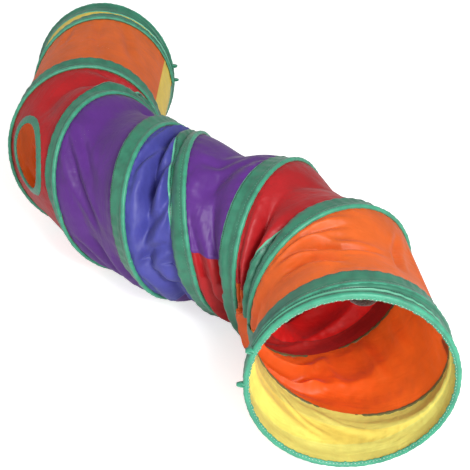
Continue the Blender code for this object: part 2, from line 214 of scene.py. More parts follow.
toy_joint = next(j for j in frame["joints"] if j["name"] == "toy_swing")
TOY_TOP = Vector(toy_joint["pos_m"])
cord_drops = np.linspace(CORD_DROP, CORD_DROP + CORD_LENGTH, 24)
cord_line = [TOY_TOP - Vector((0, 0, d)) for d in cord_drops]
toy_cord = tube("toy_elastic", cord_line, [CORD_RADIUS] * len(cord_line))
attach(toy_cord, "toy")
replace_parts(toy_cord, "toy_cord")
print("cord hangs from", [round(x, 4) for x in cord_line[0]])

# %% [markdown]
# ## The cloth between the turns
# The strips are sewn inside the wire's channel. Places along the wire are counted in half turns from the
# front mouth's left: over the top, then back beneath. Behind each place the cloth runs to the next turn
# of the wire. There it has 174 mm of cloth for less room, so it sags inwards, lies on the floor beneath,
# and gathers in folds. A cloth simulation of the whole tube would be slow and would pull each strip its
# own way; a surface given by a formula lets neighbours meet exactly.

# %% Points of the wire
SEWN_IN = 0.0020


def smooth(x):
    """0 below 0, 1 above 1, and a soft step between."""
    x = np.clip(x, 0.0, 1.0)
    return x * x * (3 - 2 * x)


def side_angles(body, right):
    """The direction at a half turn's end: the mean with the half turn that it meets there."""
    hinge = np.where((body % 2 == 1) == right, body, body - 1)
    other = np.clip(np.where(hinge == body, body + 1, body - 1), 0, LAST)
    return (ANGLES[body] + ANGLES[other]) / 2


def coil_point(body, turn, inward=0.0, along=0.0):
    """Points of the half turns with these numbers, at these angles round them."""
    body = np.asarray(body)
    cos, sin = np.cos(turn), np.sin(turn)
    near = smooth((np.abs(cos) - 0.93) / 0.07)
    plan = ANGLES[body] + near * (side_angles(body, cos > 0) - ANGLES[body])
    flat = MIDDLES[body] + across(ANGLES[body]) * (RADIUS * cos)[..., None]
    flat = flat + backward(ANGLES[body]) * (LEANS[body] * (RADIUS - inward) * sin)[..., None]
    flat = flat - across(plan) * (inward * cos)[..., None]
    flat = flat + backward(plan) * (along * np.ones_like(cos))[..., None]
    return np.concatenate([flat, (AXIS + (RADIUS - inward) * sin)[..., None]], axis=-1)


def wire_angle(half, s):
    """The angle round the turn at a place s, in this half turn of cloth."""
    return np.where(half % 2 == 0, math.pi * (1 - (s - half)), -math.pi * (s - half))


print("front mouth's top at", np.round(coil_point(np.array(0), np.array(math.pi / 2)), 3))

# %% Where the cloth begins and ends


def half_of(s):
    """The half turn of cloth that a place is in."""
    return np.clip(np.floor(s), 0, LAST).astype(int)


def ends_of(s, half):
    """The cloth's two ends at each place: on the wire in front of it and on the wire behind."""
    turn = wire_angle(half, s)
    front = coil_point(np.clip(half - 1, 0, LAST), turn, SEWN_IN)
    back = coil_point(np.clip(half + 1, 0, LAST), turn, SEWN_IN)
    return front, back, turn


def crossing(s, half):
    """The share of the way from wire to wire where the cloth crosses the half turn between them."""
    front, back, _ = ends_of(s, half)
    away = []
    for end in (front, back):
        flat = end[..., :2] - MIDDLES[half]
        ahead = (flat * backward(ANGLES[half])).sum(-1)
        away.append(ahead - LEANS[half] * (end[..., 2] - AXIS))
    share = -away[0] / np.maximum(away[1] - away[0], 1e-6)
    share = np.clip(share, 0.0, 1.0)
    return np.where(half == 0, 0.0, np.where(half == LAST, 1.0, share))


def cut_length(s):
    """How long the cloth was cut from wire to wire, which tapers at the two mouths."""
    front, back = (np.clip(s, 0, 2) / 2) ** 1.8, (LAST + 1 - s) / 2
    return PITCH * np.clip(np.minimum(front, back), 0.05, 1.0)


def room_at(s):
    """The room from wire to wire at each place."""
    front, back, _ = ends_of(s, half_of(s))
    return np.linalg.norm(back - front, axis=-1)


test_rooms = room_at(np.arange(LAST + 1) + 0.5)
print("room from wire to wire in mm, half turn by half turn", (test_rooms * 1000).round().tolist())

# %% [markdown]
# ## Where the cloth can move
# The cloth has the same spare length everywhere, but it shows it differently. Next to the stiff
# tape it stays flat. On the inner side of a bend the turns stand close and the cloth bunches up,
# beneath the tunnel and on the far side of a bend it hides a deep pleat, and in the blue strip it
# gathers most. Each of these is a soft mask along the wire or across the cloth, from 0 to 1.

# %% Masks of the cloth
BLUE_MIDDLE = 8.65
BLUE_HALF = 0.95


def free_share(u, room):
    """How free the cloth is of the stiff tape in front of it and of the wire behind, from 0 to 1."""
    behind = u * room
    reach = 0.38 * room + 1e-4
    start = np.minimum(0.022, 0.18 * room)
    return smooth((behind - start) / reach) * smooth((room - behind - 0.03 * room) / reach)


def in_bend(s):
    """1 at the left of the first bend, where the cloth bulges outwards, and 0 elsewhere."""
    return smooth((s - 3.50) / 0.15) * smooth((4.16 - s) / 0.12)


def hidden_share(s, turn):
    """Where the cloth lies beneath or on the far side of a bend, and takes up most of its slack."""
    beneath = smooth((-np.sin(turn) - 0.05) / 0.4) * smooth((s - 5.0) / 0.3)
    far_side = smooth((np.cos(turn) - 0.6) / 0.3) * smooth((s - 7) / 0.7)
    return np.maximum(np.maximum(beneath, far_side), in_bend(s))


def in_blue(s):
    """1 in the middle of the blue strip, where the tunnel bends most, and 0 away from it."""
    return np.exp(-(((s - BLUE_MIDDLE) / BLUE_HALF) ** 6))


print("blue strip's mask at its two seams", np.round(in_blue(np.array([7.75, 9.55])), 2).tolist())

# %% [markdown]
# ## Folds and creases
# Three kinds of folds lie over each other. Gathers run along the wire, as tall as the spare length
# allows. A pleat takes up most of it where the room is least. Creases are single grooves, placed
# where the picture shows them: each is a line of places across the cloth, with a depth and a width.
# Sculpting by hand would also do, but lines in a list can be moved one by one.

# %% Gathers


def gathers(s, u, room, slack, hidden):
    """Folds that run along the wire where the cloth is gathered, as a height."""
    drift = 0.35 * np.sin(2.1 * s + 0.6) + 0.2 * np.sin(5.3 * s + 1.9) + 0.06 * np.sin(17.0 * s)
    gathered = smooth((slack / PITCH - 0.36) / 0.3)
    folds = 2.2 + 0.6 * gathered + 0.8 * hidden
    share = 0.34 + 0.95 * gathered + 1.0 * hidden + 0.5 * in_blue(s)
    tallest = 0.007 + 0.006 * gathered + 0.012 * hidden + 0.003 * in_blue(s)
    tall = np.minimum(share * np.sqrt(room * slack) / (math.pi * folds), tallest)
    tall = tall * (0.8 + 0.2 * np.sin(7.7 * s + 0.4))
    wave = 2 * np.sqrt(np.cos(math.pi * (folds * u + drift)) ** 2 + 0.03) - 1.3
    return tall * wave * np.sin(math.pi * np.clip(u, 0, 1)) ** 0.9


blue_room = room_at(np.array(BLUE_MIDDLE))
blue_folds = gathers(BLUE_MIDDLE, np.linspace(0, 1, 81), blue_room, PITCH - blue_room, 0.0)
print("gathers in the blue strip stand", round(float(np.ptp(blue_folds)) * 1000, 1), "mm tall")

# %% Creases that the picture shows
CREASE_STRENGTH = 1.35
# Each crease: its places (half turns, share of the way to the next wire), depth and width.
CREASES = (
    (((8.85, 0.45), (8.60, 0.62), (8.42, 0.80), (8.30, 1.00)), 0.0075, 0.0055),
    (((8.85, 0.42), (8.57, 0.22), (8.42, 0.36), (8.31, 0.55), (8.20, 0.82)), 0.0080, 0.0065),
    (((8.50, 0.05), (8.29, 0.24), (8.20, 0.42), (8.07, 0.84)), 0.0060, 0.0060),
    (((8.10, 0.30), (8.05, 0.62), (7.95, 0.92)), 0.0050, 0.0060),
    (((2.20, 0.99), (2.34, 0.92), (2.58, 0.80)), 0.0044, 0.0042),
    (((2.22, 0.90), (2.36, 0.80), (2.50, 0.60), (2.68, 0.52)), 0.0054, 0.0046),
    (((2.24, 0.74), (2.38, 0.62), (2.52, 0.36)), 0.0042, 0.0046),
    (((2.78, 0.86), (2.74, 0.62), (2.71, 0.34)), 0.0034, 0.0056),
    (((10.34, 0.98), (10.18, 0.72), (10.00, 0.38)), 0.0042, 0.0075),
    (((10.40, 0.98), (10.30, 0.70), (10.18, 0.44)), 0.0026, 0.0080),
    (((6.62, 0.20), (6.44, 0.48), (6.26, 0.86)), 0.0030, 0.0085),
    (((6.60, 0.36), (6.50, 0.60), (6.42, 0.90)), 0.0022, 0.0070),
    (((4.40, 0.95), (4.54, 0.76), (4.70, 0.52)), 0.0020, 0.0090),
    (((14.53, 0.98), (14.55, 0.60), (14.58, 0.26)), 0.0028, 0.0080),
    (((14.64, 0.98), (14.68, 0.66), (14.72, 0.34)), 0.0026, 0.0080),
    (((14.40, 0.98), (14.38, 0.62)), 0.0022, 0.0070),
    (((3.30, 0.30), (3.32, 0.60), (3.36, 0.96)), 0.0034, 0.0080),
    (((3.46, 0.36), (3.50, 0.66), (3.52, 0.96)), 0.0034, 0.0080),
    (((3.16, 0.40), (3.20, 0.70), (3.22, 0.98)), 0.0026, 0.0080),
    (((1.35, 0.50), (1.50, 0.70), (1.62, 0.95)), 0.0014, 0.0045),
    (((1.52, 0.40), (1.64, 0.60), (1.76, 0.90)), 0.0012, 0.0040),
)


def creased(s, u, room):
    """How deep the photographed creases are, at each place."""
    depth = np.zeros(np.shape(s))
    for line, deep, wide in CREASES:
        low, high = min(p[0] for p in line) - 0.12, max(p[0] for p in line) + 0.12
        near = (s > low) & (s < high)
        if not near.any():
            continue
        along, wide_room = AROUND, room[near]
        here = np.stack([s[near] * along, u[near] * wide_room], axis=-1)
        away = np.full(len(here), 1.0)
        reached = np.zeros(len(here))
        share = 1 / (len(line) - 1)
        for part, (a, b) in enumerate(zip(line, line[1:])):
            start = np.stack([np.full(len(here), a[0] * along), a[1] * wide_room], axis=-1)
            end = np.stack([np.full(len(here), b[0] * along), b[1] * wide_room], axis=-1)
            step = end - start
            t = ((here - start) * step).sum(-1) / np.maximum((step * step).sum(-1), 1e-12)
            t = np.clip(t, 0, 1)
            found = np.linalg.norm(here - start - t[:, None] * step, axis=-1)
            reached = np.where(found < away, (part + t) * share, reached)
            away = np.minimum(away, found)
        groove = np.exp(-((away / wide) ** 2)) - 0.42 * np.exp(-(((away - 2.0 * wide) / wide) ** 2))
        faded = smooth((reached + 0.05) / 0.35) * smooth((1.05 - reached) / 0.35)
        depth[near] += CREASE_STRENGTH * deep * groove * faded
    return depth


deepest = CREASE_STRENGTH * max(deep for _, deep, _ in CREASES)
print(len(CREASES), "creases, up to", round(deepest * 1000, 1), "mm deep")

# %% The deep pleat
PLEAT_DEEPEST = 0.060
PLEAT_BEHIND = 0.013


def pleat(s, u, room, slack, hidden):
    """The deep pleat where the room is least, as a depth: beneath the tape, or open if hidden."""
    gathered = smooth((slack / PITCH - 0.40 + 0.15 * hidden) / 0.25)
    deep = np.minimum(0.50 * slack, PLEAT_DEEPEST) * gathered
    at = 0.5 + 0.12 * np.sin(3 * s)
    opened = np.exp(-(((u - at) / 0.15) ** 2)) * np.sin(math.pi * np.clip(u, 0, 1))
    under = np.exp(-(((u * room - PLEAT_BEHIND) / 0.0058) ** 2)) * smooth(u * room / 0.005)
    under = under * smooth((s - 4.0) / 0.1)
    open_share = hidden * np.maximum(smooth((room - 0.055) / 0.025), in_bend(s) * (s < 4))
    return deep * (opened * open_share * (1 - 1.25 * in_bend(s)) + under * (1 - open_share))


blue_pleat = pleat(BLUE_MIDDLE, PLEAT_BEHIND / blue_room, blue_room, PITCH - blue_room, 0.0)
print("the pleat beneath the tape is", round(float(blue_pleat) * 1000), "mm deep in the blue strip")

# %% [markdown]
# ## The surface of the cloth
# The surface runs straight from wire to wire, and then sag and folds push it along the tunnel's
# inward direction. Under the tape nothing may rise, or the cloth would show through it. Round the
# peep hole the binding holds the cloth flat and a little outwards. The floor pushes the lowest
# cloth up, softly, so that it lies there instead of ending in a hard line. Normals come from the
# same formula, so that two pieces which meet at a seam share them and no edge shows.

# %% What holds the cloth: the tape and the peep hole's binding
FLAP_WIDTH = 0.026
HOLE_AT = (12.12, 0.090)
HOLE_FLAT = 0.062


def tape_reach(s, room):
    """How far the tape lies on the cloth: behind the wire in front, and ahead of the wire behind."""
    half = half_of(s)
    at_front, at_back = half < 2, half >= LAST - 1
    share = np.where(at_front, 0.44, np.where(at_back, 0.42, 0.80))
    behind = np.where(half == 3, 0.0, np.minimum(FLAP_WIDTH, share * room))
    ahead = np.where(at_front | at_back, np.minimum(FLAP_WIDTH, 0.50 * room), 0.0)
    return behind, ahead


def near_hole(s, u, room):
    """1 at the peep hole and 0 away from it; HOLE_AT is half turns, and metres behind the wire."""
    along = (s - HOLE_AT[0]) * AROUND
    return np.exp(-((np.hypot(along, u * room - HOLE_AT[1]) / HOLE_FLAT) ** 4))


tops = np.arange(0, LAST + 1, 2) + 0.5
print("tape behind each top in mm", (tape_reach(tops, room_at(tops))[0] * 1000).round().tolist())

# %% Sag and puckers
SAG_MOST = 0.014
PUCKER_TALL = 0.0006
PUCKER_STEP = 0.0029


def sag_inwards(s, u, room, slack, sin):
    """How far the cloth sags between the wires: most on top, and less at the back."""
    sag = np.minimum(0.6 * np.sqrt(0.375 * room * slack), np.minimum(0.20 * room, SAG_MOST))
    return sag * (0.62 + 0.38 * sin) * free_share(u, room) * (1 - 0.5 * smooth((s - 11.6) / 0.4))


def puckers(s, u, room):
    """Small puckers behind the tape's hem and ahead of the next wire, as a height."""
    waves = PUCKER_TALL * np.sin(s * AROUND / PUCKER_STEP + 2 * np.sin(s * 9))
    waves = waves * (np.exp(-np.abs(u * room - 0.028) / 0.010) + np.exp(-(1 - u) * room / 0.012))
    return waves * np.minimum(room / 0.05, 1)


top_sag = sag_inwards(4.5, 0.5, 0.13, PITCH - 0.13, 1.0)
print("cloth with 130 mm of room sags", round(float(top_sag) * 1000, 1), "mm on top")

# %% The cloth's surface
HOLE_BULGE = 0.013
FLOOR_GAP = 0.0012
FLOOR_SOFT = 0.004


def cloth(s, u, folded=True):
    """Points of the cloth, this far behind the front wire as a share of the way to the next."""
    s, u = np.broadcast_arrays(np.asarray(s, float), np.asarray(u, float))
    half = half_of(s)
    front, back, turn = ends_of(s, half)
    room = np.linalg.norm(back - front, axis=-1)
    slack = np.maximum(cut_length(s) - room, 0.0)
    plan = ANGLES[np.clip(half - 1, 0, LAST)] * (1 - u) + ANGLES[np.clip(half + 1, 0, LAST)] * u
    cos, sin = np.cos(turn), np.sin(turn)
    inward = np.concatenate([-across(plan) * cos[..., None], -sin[..., None]], axis=-1)
    hidden = hidden_share(s, turn)
    free = smooth(u * room / 0.022) * smooth((1 - u) * room / 0.012)
    fold = gathers(s, u, room, slack, hidden) * free
    if folded:
        rise = puckers(s, u, room) - creased(s, u, room) * free
        rise = rise - pleat(s, u, room, slack, hidden)
        behind, ahead = tape_reach(s, room)
        inset = np.maximum(behind - u * room, ahead - (1 - u) * room)
        fold = fold + np.minimum(rise, rise * (1 - smooth((inset + 0.005) / 0.006)))
    bound = near_hole(s, u, room)
    sag = sag_inwards(s, u, room, slack, sin) * (1 - 0.9 * bound)
    fold = fold * (1 - 0.8 * bound) + HOLE_BULGE * bound * free
    point = front + (back - front) * u[..., None] + inward * (sag - fold)[..., None]
    above = (point[..., 2] - FLOOR_GAP) / FLOOR_SOFT
    point[..., 2] = FLOOR_GAP + FLOOR_SOFT * np.logaddexp(0.0, above)
    return point


print("cloth at the first top, half way back", np.round(cloth(np.array(0.5), np.array(0.5)), 3))

# %% The cloth's normals and the tape's cover


def outward(s, u, folded=True):
    """The cloth's outward normals."""
    s, u = np.broadcast_arrays(np.asarray(s, float), np.asarray(u, float))
    ds, du = 1.5e-3, 2e-3
    low, high = np.clip(s - ds, 0, LAST + 1 - 1e-6), np.clip(s + ds, 0, LAST + 1 - 1e-6)
    along = (cloth(high, u, folded) - cloth(low, u, folded)) / (high - low)[..., None]
    behind = cloth(s, np.minimum(u + du, 1), folded) - cloth(s, np.maximum(u - du, 0), folded)
    behind = behind / (np.minimum(u + du, 1) - np.maximum(u - du, 0))[..., None]
    turn = wire_angle(half_of(s), s)
    plan = ANGLES[np.clip(half_of(s), 0, LAST)]
    radial = np.concatenate([across(plan) * np.cos(turn)[..., None], np.sin(turn)[..., None]], axis=-1)
    found = np.cross(along, behind) + radial * 8e-4
    return found / np.linalg.norm(found, axis=-1)[..., None]


def tape_cover(s, u):
    """How far a place of the cloth lies within the tape's edge; below 0 where no tape covers it."""
    room = room_at(s)
    behind, ahead = tape_reach(s, room)
    first = np.where(behind > 0, behind, -0.002) - u * room
    return np.maximum(first, np.where(ahead > 0, ahead - (1 - u) * room, -1.0))


print("outwards at the first top, half way back", np.round(outward(0.5, 0.5), 2))

# %% [markdown]
# ## Pieces between two half turns
# Between two neighbouring half turns the tube is a wedge that opens on their hinge. Each grid below
# covers one wedge, and its bending weight grows from one edge to the other, from 0 at the front half turn
# to 1 at the back one. Nothing bends the cloth with these weights.

# %% Places in a wedge
PER_HALF = 112


def wedge_span(wedge, s, half, low=0.0, high=1.0):
    """Where the cloth in a wedge starts and ends at these places, within a band of the cloth."""
    middle = crossing(s, half)
    if wedge == 0:
        start, end = np.zeros_like(s), np.where(half == 0, 1.0, middle)
    elif wedge == LAST - 1:
        start, end = np.where(half == LAST, 0.0, middle), np.ones_like(s)
    else:
        start, end = np.where(half == wedge, middle, 0.0), np.where(half == wedge, 1.0, middle)
    return np.clip(start, low, high), np.clip(end, low, high), start, end


def places(first, last):
    """Evenly spread places along the wire, with the half turn of each."""
    steps = max(int(round((last - first) * PER_HALF)), 2)
    s = np.linspace(first, last, steps + 1)
    s = np.clip(s, first + 1e-7, last - 1e-7)
    return s, half_of(s)


def wedge_grid(wedge, first, last, low=0.0, high=1.0, rows=24):
    """The places, shares, and bending weights of a grid in a wedge, from one place to another."""
    s, half = places(first, last)
    start, end, whole_start, whole_end = wedge_span(wedge, s, half, low, high)
    share = np.linspace(0, 1, rows + 1)
    u = start[:, None] + (end - start)[:, None] * share
    size = np.maximum(whole_end - whole_start, 1e-4)
    weights = np.clip((u - whole_start[:, None]) / size[:, None], 0, 1)
    return np.broadcast_to(s[:, None], u.shape), u, weights


print(LAST, "wedges, with", wedge_grid(8, 8, 10)[1].shape, "places in the blue strip's")

# %% A grid as a piece
SMALLEST_FACE = 2e-9


def bend(made, weights):
    """Bakes a piece's place into its mesh; its weights, 0 for the half turn in front and 1 for the one
    behind, are not used.
    """
    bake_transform(made)
    weights = np.asarray(weights, np.float32)


def sheet_object(name, s, points, normals, weights, cover, own=False, keep=True):
    """A grid as an object, with a map of places and of the tape's cover."""
    rows, columns = s.shape
    number = np.arange(rows * columns).reshape(rows, columns)
    quads = np.stack([number[:-1, :-1], number[:-1, 1:], number[1:, 1:], number[1:, :-1]], axis=-1)
    quads = quads.reshape(-1, 4)
    spots, facing = points.reshape(-1, 3), normals.reshape(-1, 3)
    cross = np.cross(spots[quads[:, 2]] - spots[quads[:, 0]], spots[quads[:, 3]] - spots[quads[:, 1]])
    good = np.linalg.norm(cross, axis=-1) > 2 * SMALLEST_FACE
    good = good & np.broadcast_to(np.ravel(keep), len(quads))
    if (cross * facing[quads[:, 0]]).sum() < 0:
        quads = quads[:, ::-1]
    used, quads = np.unique(quads[good], return_inverse=True)
    quads = quads.reshape(-1, 4)
    made = link_mesh(name, spots[used], quads.tolist())
    mesh = made.data
    layer = mesh.uv_layers.new(name="metres")
    place = np.stack([(s * AROUND).ravel(), np.broadcast_to(cover, s.shape).ravel()], axis=-1)
    layer.data.foreach_set("uv", place[used][quads.ravel()].astype(np.float32).ravel())
    mesh.shade_smooth()
    if own:
        mesh.normals_split_custom_set_from_vertices([tuple(n) for n in facing[used]])
    bend(made, weights.ravel()[used])
    return made


print("faces below", SMALLEST_FACE * 1e6, "square millimetres are left out")

# %% [markdown]
# ## Colours and finishes
# The strips are thin coated nylon: glossy, a little see-through, with a fine weave and many small
# crinkles. The tape is woven polyester, duller and closed. Image textures could carry both, but
# noise in nodes stays sharp from close by and needs no map. These helpers keep each material down
# to its own decisions: one adds a node with its values, one links sockets, one is a sum.

# %% Colours, nodes and links


def linear(red, green, blue):
    """A colour that is written as on a screen, from 0 to 255, as the shader wants it."""
    found = []
    for value in (red, green, blue):
        value = value / 255
        found.append(value / 12.92 if value <= 0.04045 else ((value + 0.055) / 1.055) ** 2.4)
    return (*found, 1.0)


def add(tree, kind, at=(0, 0), values=None, **settings):
    """A node of this kind in a tree, with its settings and the values of its inputs."""
    made = tree.nodes.new(kind)
    made.location = at
    for name, value in settings.items():
        setattr(made, name, value)
    for name, value in (values or {}).items():
        made.inputs[name].default_value = value
    return made


def feed(tree, *pairs):
    """Links each output to each input."""
    for output, socket in pairs:
        tree.links.new(output, socket)


print("orange on the shader's scale", [round(x, 3) for x in linear(234, 101, 32)])

# %% Nodes that calculate


def calculate(tree, operation, a, b=0.0, at=(0, 0)):
    """One step of arithmetic; a and b are each a socket or a number."""
    made = add(tree, "ShaderNodeMath", at, operation=operation)
    for socket, value in zip(made.inputs, (a, b)):
        if isinstance(value, (int, float)):
            socket.default_value = value
        else:
            tree.links.new(value, socket)
    return made.outputs[0]


def rescaled(tree, value, at=(0, 0), soft=False, **ends):
    """A value moved from one range to another: ends are from_min, from_max, to_min and to_max."""
    kind = "SMOOTHSTEP" if soft else "LINEAR"
    values = {name.replace("_", " ").title(): number for name, number in ends.items()}
    made = add(tree, "ShaderNodeMapRange", at, values, interpolation_type=kind)
    tree.links.new(value, made.inputs["Value"])
    return made


def mixed(tree, share, first, second, at=(0, 0)):
    """A colour between two others, each a socket or written as on a screen."""
    made = add(tree, "ShaderNodeMix", at, data_type="RGBA")
    for name, colour in (("A", first), ("B", second)):
        if isinstance(colour, tuple):
            made.inputs[name].default_value = linear(*colour)
        else:
            tree.links.new(colour, made.inputs[name])
    tree.links.new(share, made.inputs["Factor"])
    return made.outputs["Result"]


print("helpers for sums, ranges and mixed colours are ready")

# %% [markdown]
# ## What the finishes share
# Four effects come back in several materials, so each is a node group with named inputs: a plain grain at
# any fineness, the crinkles and weave of the nylon with a soft painted shade, the painted shadow where
# the tape lies behind the cloth, and the hem along the tape's edge. The last two need to know where on
# the tunnel they are. The meshes carry that as a map: metres along the wire, and metres inside the tape's
# edge.

# %% A group, and the grain


def new_group(name, inputs, outputs):
    """An empty node group with named sockets: (name, value) going in, names coming out."""
    tree = bpy.data.node_groups.new(name, "ShaderNodeTree")
    for label, value in inputs:
        socket = tree.interface.new_socket(label, in_out="INPUT", socket_type="NodeSocketFloat")
        socket.default_value = value
    for label in outputs:
        tree.interface.new_socket(label, in_out="OUTPUT", socket_type="NodeSocketFloat")
    start = add(tree, "NodeGroupInput", (-900, 0))
    end = add(tree, "NodeGroupOutput", (600, 0))
    return tree, start, end


def grain_group():
    """Noise over the object, for naps, threads and weaves."""
    tree, start, end = new_group("grain", [("Scale", 100.0), ("Detail", 2.0)], ["Grain"])
    spot = add(tree, "ShaderNodeTexCoord", (-900, 300))
    noise_node = add(tree, "ShaderNodeTexNoise", (-300, 0))
    feed(tree, (spot.outputs["Object"], noise_node.inputs["Vector"]))
    feed(tree, (start.outputs["Scale"], noise_node.inputs["Scale"]))
    feed(tree, (start.outputs["Detail"], noise_node.inputs["Detail"]))
    feed(tree, (noise_node.outputs["Fac"], end.inputs["Grain"]))
    return tree


GRAIN = grain_group()
print("group", GRAIN.name)

# %% The nylon's crinkles and weave, as a group


def nylon_group():
    """Height of the crinkles and the weave, and a soft painted shade over them that darkens where they
    lie low.
    """
    tree, start, end = new_group(
        "nylon crinkles", [("Crinkle", 55.0), ("Depth", 1.0)], ["Height", "Shade"]
    )
    spot = add(tree, "ShaderNodeTexCoord", (-900, 300))
    warp = add(tree, "ShaderNodeTexNoise", (-700, 400), {"Scale": 9.0, "Detail": 2.0})
    moved = add(
        tree, "ShaderNodeVectorMath", (-500, 300), {1: (0.05, 0.05, 0.05)}, operation="MULTIPLY_ADD"
    )
    creases = add(tree, "ShaderNodeTexVoronoi", (-300, 300), feature="DISTANCE_TO_EDGE")
    soft = add(tree, "ShaderNodeTexNoise", (-300, 0), {"Scale": 26.0, "Detail": 3.0})
    weave = add(tree, "ShaderNodeTexNoise", (-300, -250), {"Scale": 1400.0, "Detail": 1.0})
    place = add(tree, "ShaderNodeUVMap", (-900, -450), uv_map="metres")
    lengthwise = add(
        tree, "ShaderNodeMapping", (-700, -450), {"Rotation": (0, 0, 0.22), "Scale": (16, 75, 1)}
    )
    streaks = add(
        tree, "ShaderNodeTexNoise", (-500, -450), {"Scale": 1.0, "Detail": 2.0, "Distortion": 0.5}
    )
    feed(tree, (spot.outputs["Object"], warp.inputs["Vector"]))
    feed(tree, (warp.outputs["Color"], moved.inputs[0]), (spot.outputs["Object"], moved.inputs[2]))
    feed(tree, (moved.outputs[0], creases.inputs["Vector"]), (moved.outputs[0], soft.inputs["Vector"]))
    feed(tree, (start.outputs["Crinkle"], creases.inputs["Scale"]))
    feed(tree, (spot.outputs["Object"], weave.inputs["Vector"]))
    feed(tree, (place.outputs["UV"], lengthwise.inputs["Vector"]))
    feed(tree, (lengthwise.outputs["Vector"], streaks.inputs["Vector"]))
    edge = rescaled(tree, creases.outputs["Distance"], (-100, 300), soft=True, from_max=0.35)
    edges = calculate(tree, "MULTIPLY", edge.outputs[0], 0.22, (100, 300))
    along = calculate(tree, "MULTIPLY", streaks.outputs["Fac"], 1.3, (0, -450))
    fine = calculate(tree, "MULTIPLY", weave.outputs["Fac"], 0.035, (100, -200))
    total = calculate(tree, "ADD", edges, along, (150, 300))
    total = calculate(tree, "ADD", total, soft.outputs["Fac"], (250, 200))
    total = calculate(tree, "MULTIPLY", total, start.outputs["Depth"], (350, 200))
    total = calculate(tree, "ADD", total, fine, (450, 100))
    feed(tree, (total, end.inputs["Height"]), (soft.outputs["Fac"], end.inputs["Shade"]))
    return tree


NYLON = nylon_group()
print("group", NYLON.name, "with", len(NYLON.nodes), "nodes")

# %% The tape's painted shadow behind the cloth and the tape's hem, as groups


def map_of_places(tree):
    """The two values of the map: metres along the wire, and metres inside the tape's edge."""
    place = add(tree, "ShaderNodeUVMap", (-900, 200), uv_map="metres")
    split = add(tree, "ShaderNodeSeparateXYZ", (-700, 200))
    feed(tree, (place.outputs["UV"], split.inputs["Vector"]))
    return split.outputs["X"], split.outputs["Y"]


def tape_shadow_group():
    """Where the tape lies outside the cloth: a mask for its painted shadow, a band with a painted darker
    rim along its edge.
    """
    tree, start, end = new_group("tape shadow", [("Strength", 0.62)], ["Taped"])
    _, cover = map_of_places(tree)
    band = rescaled(tree, cover, (-300, 300), soft=True, from_min=-0.0008, from_max=0.0008)
    feed(tree, (start.outputs["Strength"], band.inputs["To Max"]))
    away = calculate(tree, "ABSOLUTE", cover, 0.0, (-300, 0))
    rim = rescaled(tree, away, (-100, 0), soft=True, from_min=0.0014, from_max=0.0004, to_max=0.38)
    feed(tree, (calculate(tree, "ADD", band.outputs[0], rim.outputs[0], (200, 200)), end.inputs["Taped"]))
    return tree


def hem_group():
    """A pale line at the tape's free edge, and a broken dark line of stitches beside it."""
    tree, start, end = new_group("hem line", [("Inset", 0.0026)], ["Edge", "Stitch"])
    along, inside = map_of_places(tree)
    edge = rescaled(tree, inside, (-300, 300), soft=True, from_min=0.0016, from_max=0.0010)
    away = calculate(tree, "SUBTRACT", inside, start.outputs["Inset"], (-500, 0))
    away = calculate(tree, "ABSOLUTE", away, 0.0, (-350, 0))
    line = rescaled(tree, away, (-100, 0), soft=True, from_min=0.0008, from_max=0.0003)
    gaps = calculate(tree, "MULTIPLY", along, 1900.0, (-500, -200))
    gaps = calculate(tree, "SINE", gaps, 0.0, (-350, -200))
    gaps = calculate(tree, "MULTIPLY", gaps, 0.4, (-200, -200))
    gaps = calculate(tree, "ADD", gaps, 0.6, (-50, -200))
    stitch = calculate(tree, "MULTIPLY", line.outputs[0], gaps, (300, 0))
    feed(tree, (edge.outputs[0], end.inputs["Edge"]), (stitch, end.inputs["Stitch"]))
    return tree


TAPE_SHADOW = tape_shadow_group()
HEM = hem_group()
print("groups", TAPE_SHADOW.name, "and", HEM.name)

# %% Parts that every material is made of


def new_material(name, values):
    """A material with these values on its Principled shader."""
    made = bpy.data.materials.new(name)
    made.use_nodes = True
    shader = made.node_tree.nodes["Principled BSDF"]
    for socket, value in values.items():
        shader.inputs[socket].default_value = value
    return made, made.node_tree, shader


def placed(tree, group, at=(-700, 0), values=None):
    """A group's node in a material, with its own values."""
    made = add(tree, "ShaderNodeGroup", at)
    made.node_tree = group
    for name, value in (values or {}).items():
        made.inputs[name].default_value = value
    return made


def raised(tree, shader, height, depth, strength=1.0, at=(-300, -300)):
    """A bump of this depth in metres, which gives a shader its normal."""
    made = add(tree, "ShaderNodeBump", at, {"Strength": strength, "Distance": depth})
    feed(tree, (height, made.inputs["Height"]), (made.outputs["Normal"], shader.inputs["Normal"]))
    return made.outputs["Normal"]


def grained(name, light, dark, scale, depth, detail=2.0, **values):
    """Thread, plush or elastic: two tones and a bump that follow one grain."""
    named = {label.replace("_", " ").title(): value for label, value in values.items()}
    made, tree, shader = new_material(name, named)
    grain = placed(tree, GRAIN, values={"Scale": scale, "Detail": detail}).outputs["Grain"]
    feed(tree, (mixed(tree, grain, dark, light, (-400, 100)), shader.inputs["Base Color"]))
    raised(tree, shader, grain, depth)
    return made


print("helpers for materials are ready")

# %% [markdown]
# ## Nylon
# The cloth looks different from its two sides, as the picture shows: outside it is lit and glossy, inside
# it glows with the light that comes through, except where the tape lies behind it. That glow is painted
# light in the inside colours, and the tape's shadow is painted shade.
# Backfacing chooses between the two colours. A share of a Translucent shader lets light through;
# transmission in the Principled shader would bend it like glass, which thin cloth doesn't do.

# %% The nylon materials
# Each colour: outside; inside, with the glow of the light that comes through as painted light; inside
# where the tape lies behind, as the tape's painted shadow; and the share of light let through.
NYLON_COLOURS = {
    "yellow": ((250, 226, 92), (255, 240, 116), (244, 242, 134), 0.34),
    "orange": ((244, 116, 40), (248, 106, 30), (150, 84, 40), 0.42),
    "red": ((194, 28, 34), (228, 34, 34), (156, 40, 38), 0.36),
    "purple": ((96, 42, 140), (88, 44, 118), (60, 44, 84), 0.24),
    "blue": ((74, 76, 166), (62, 58, 124), (44, 60, 92), 0.24),
}


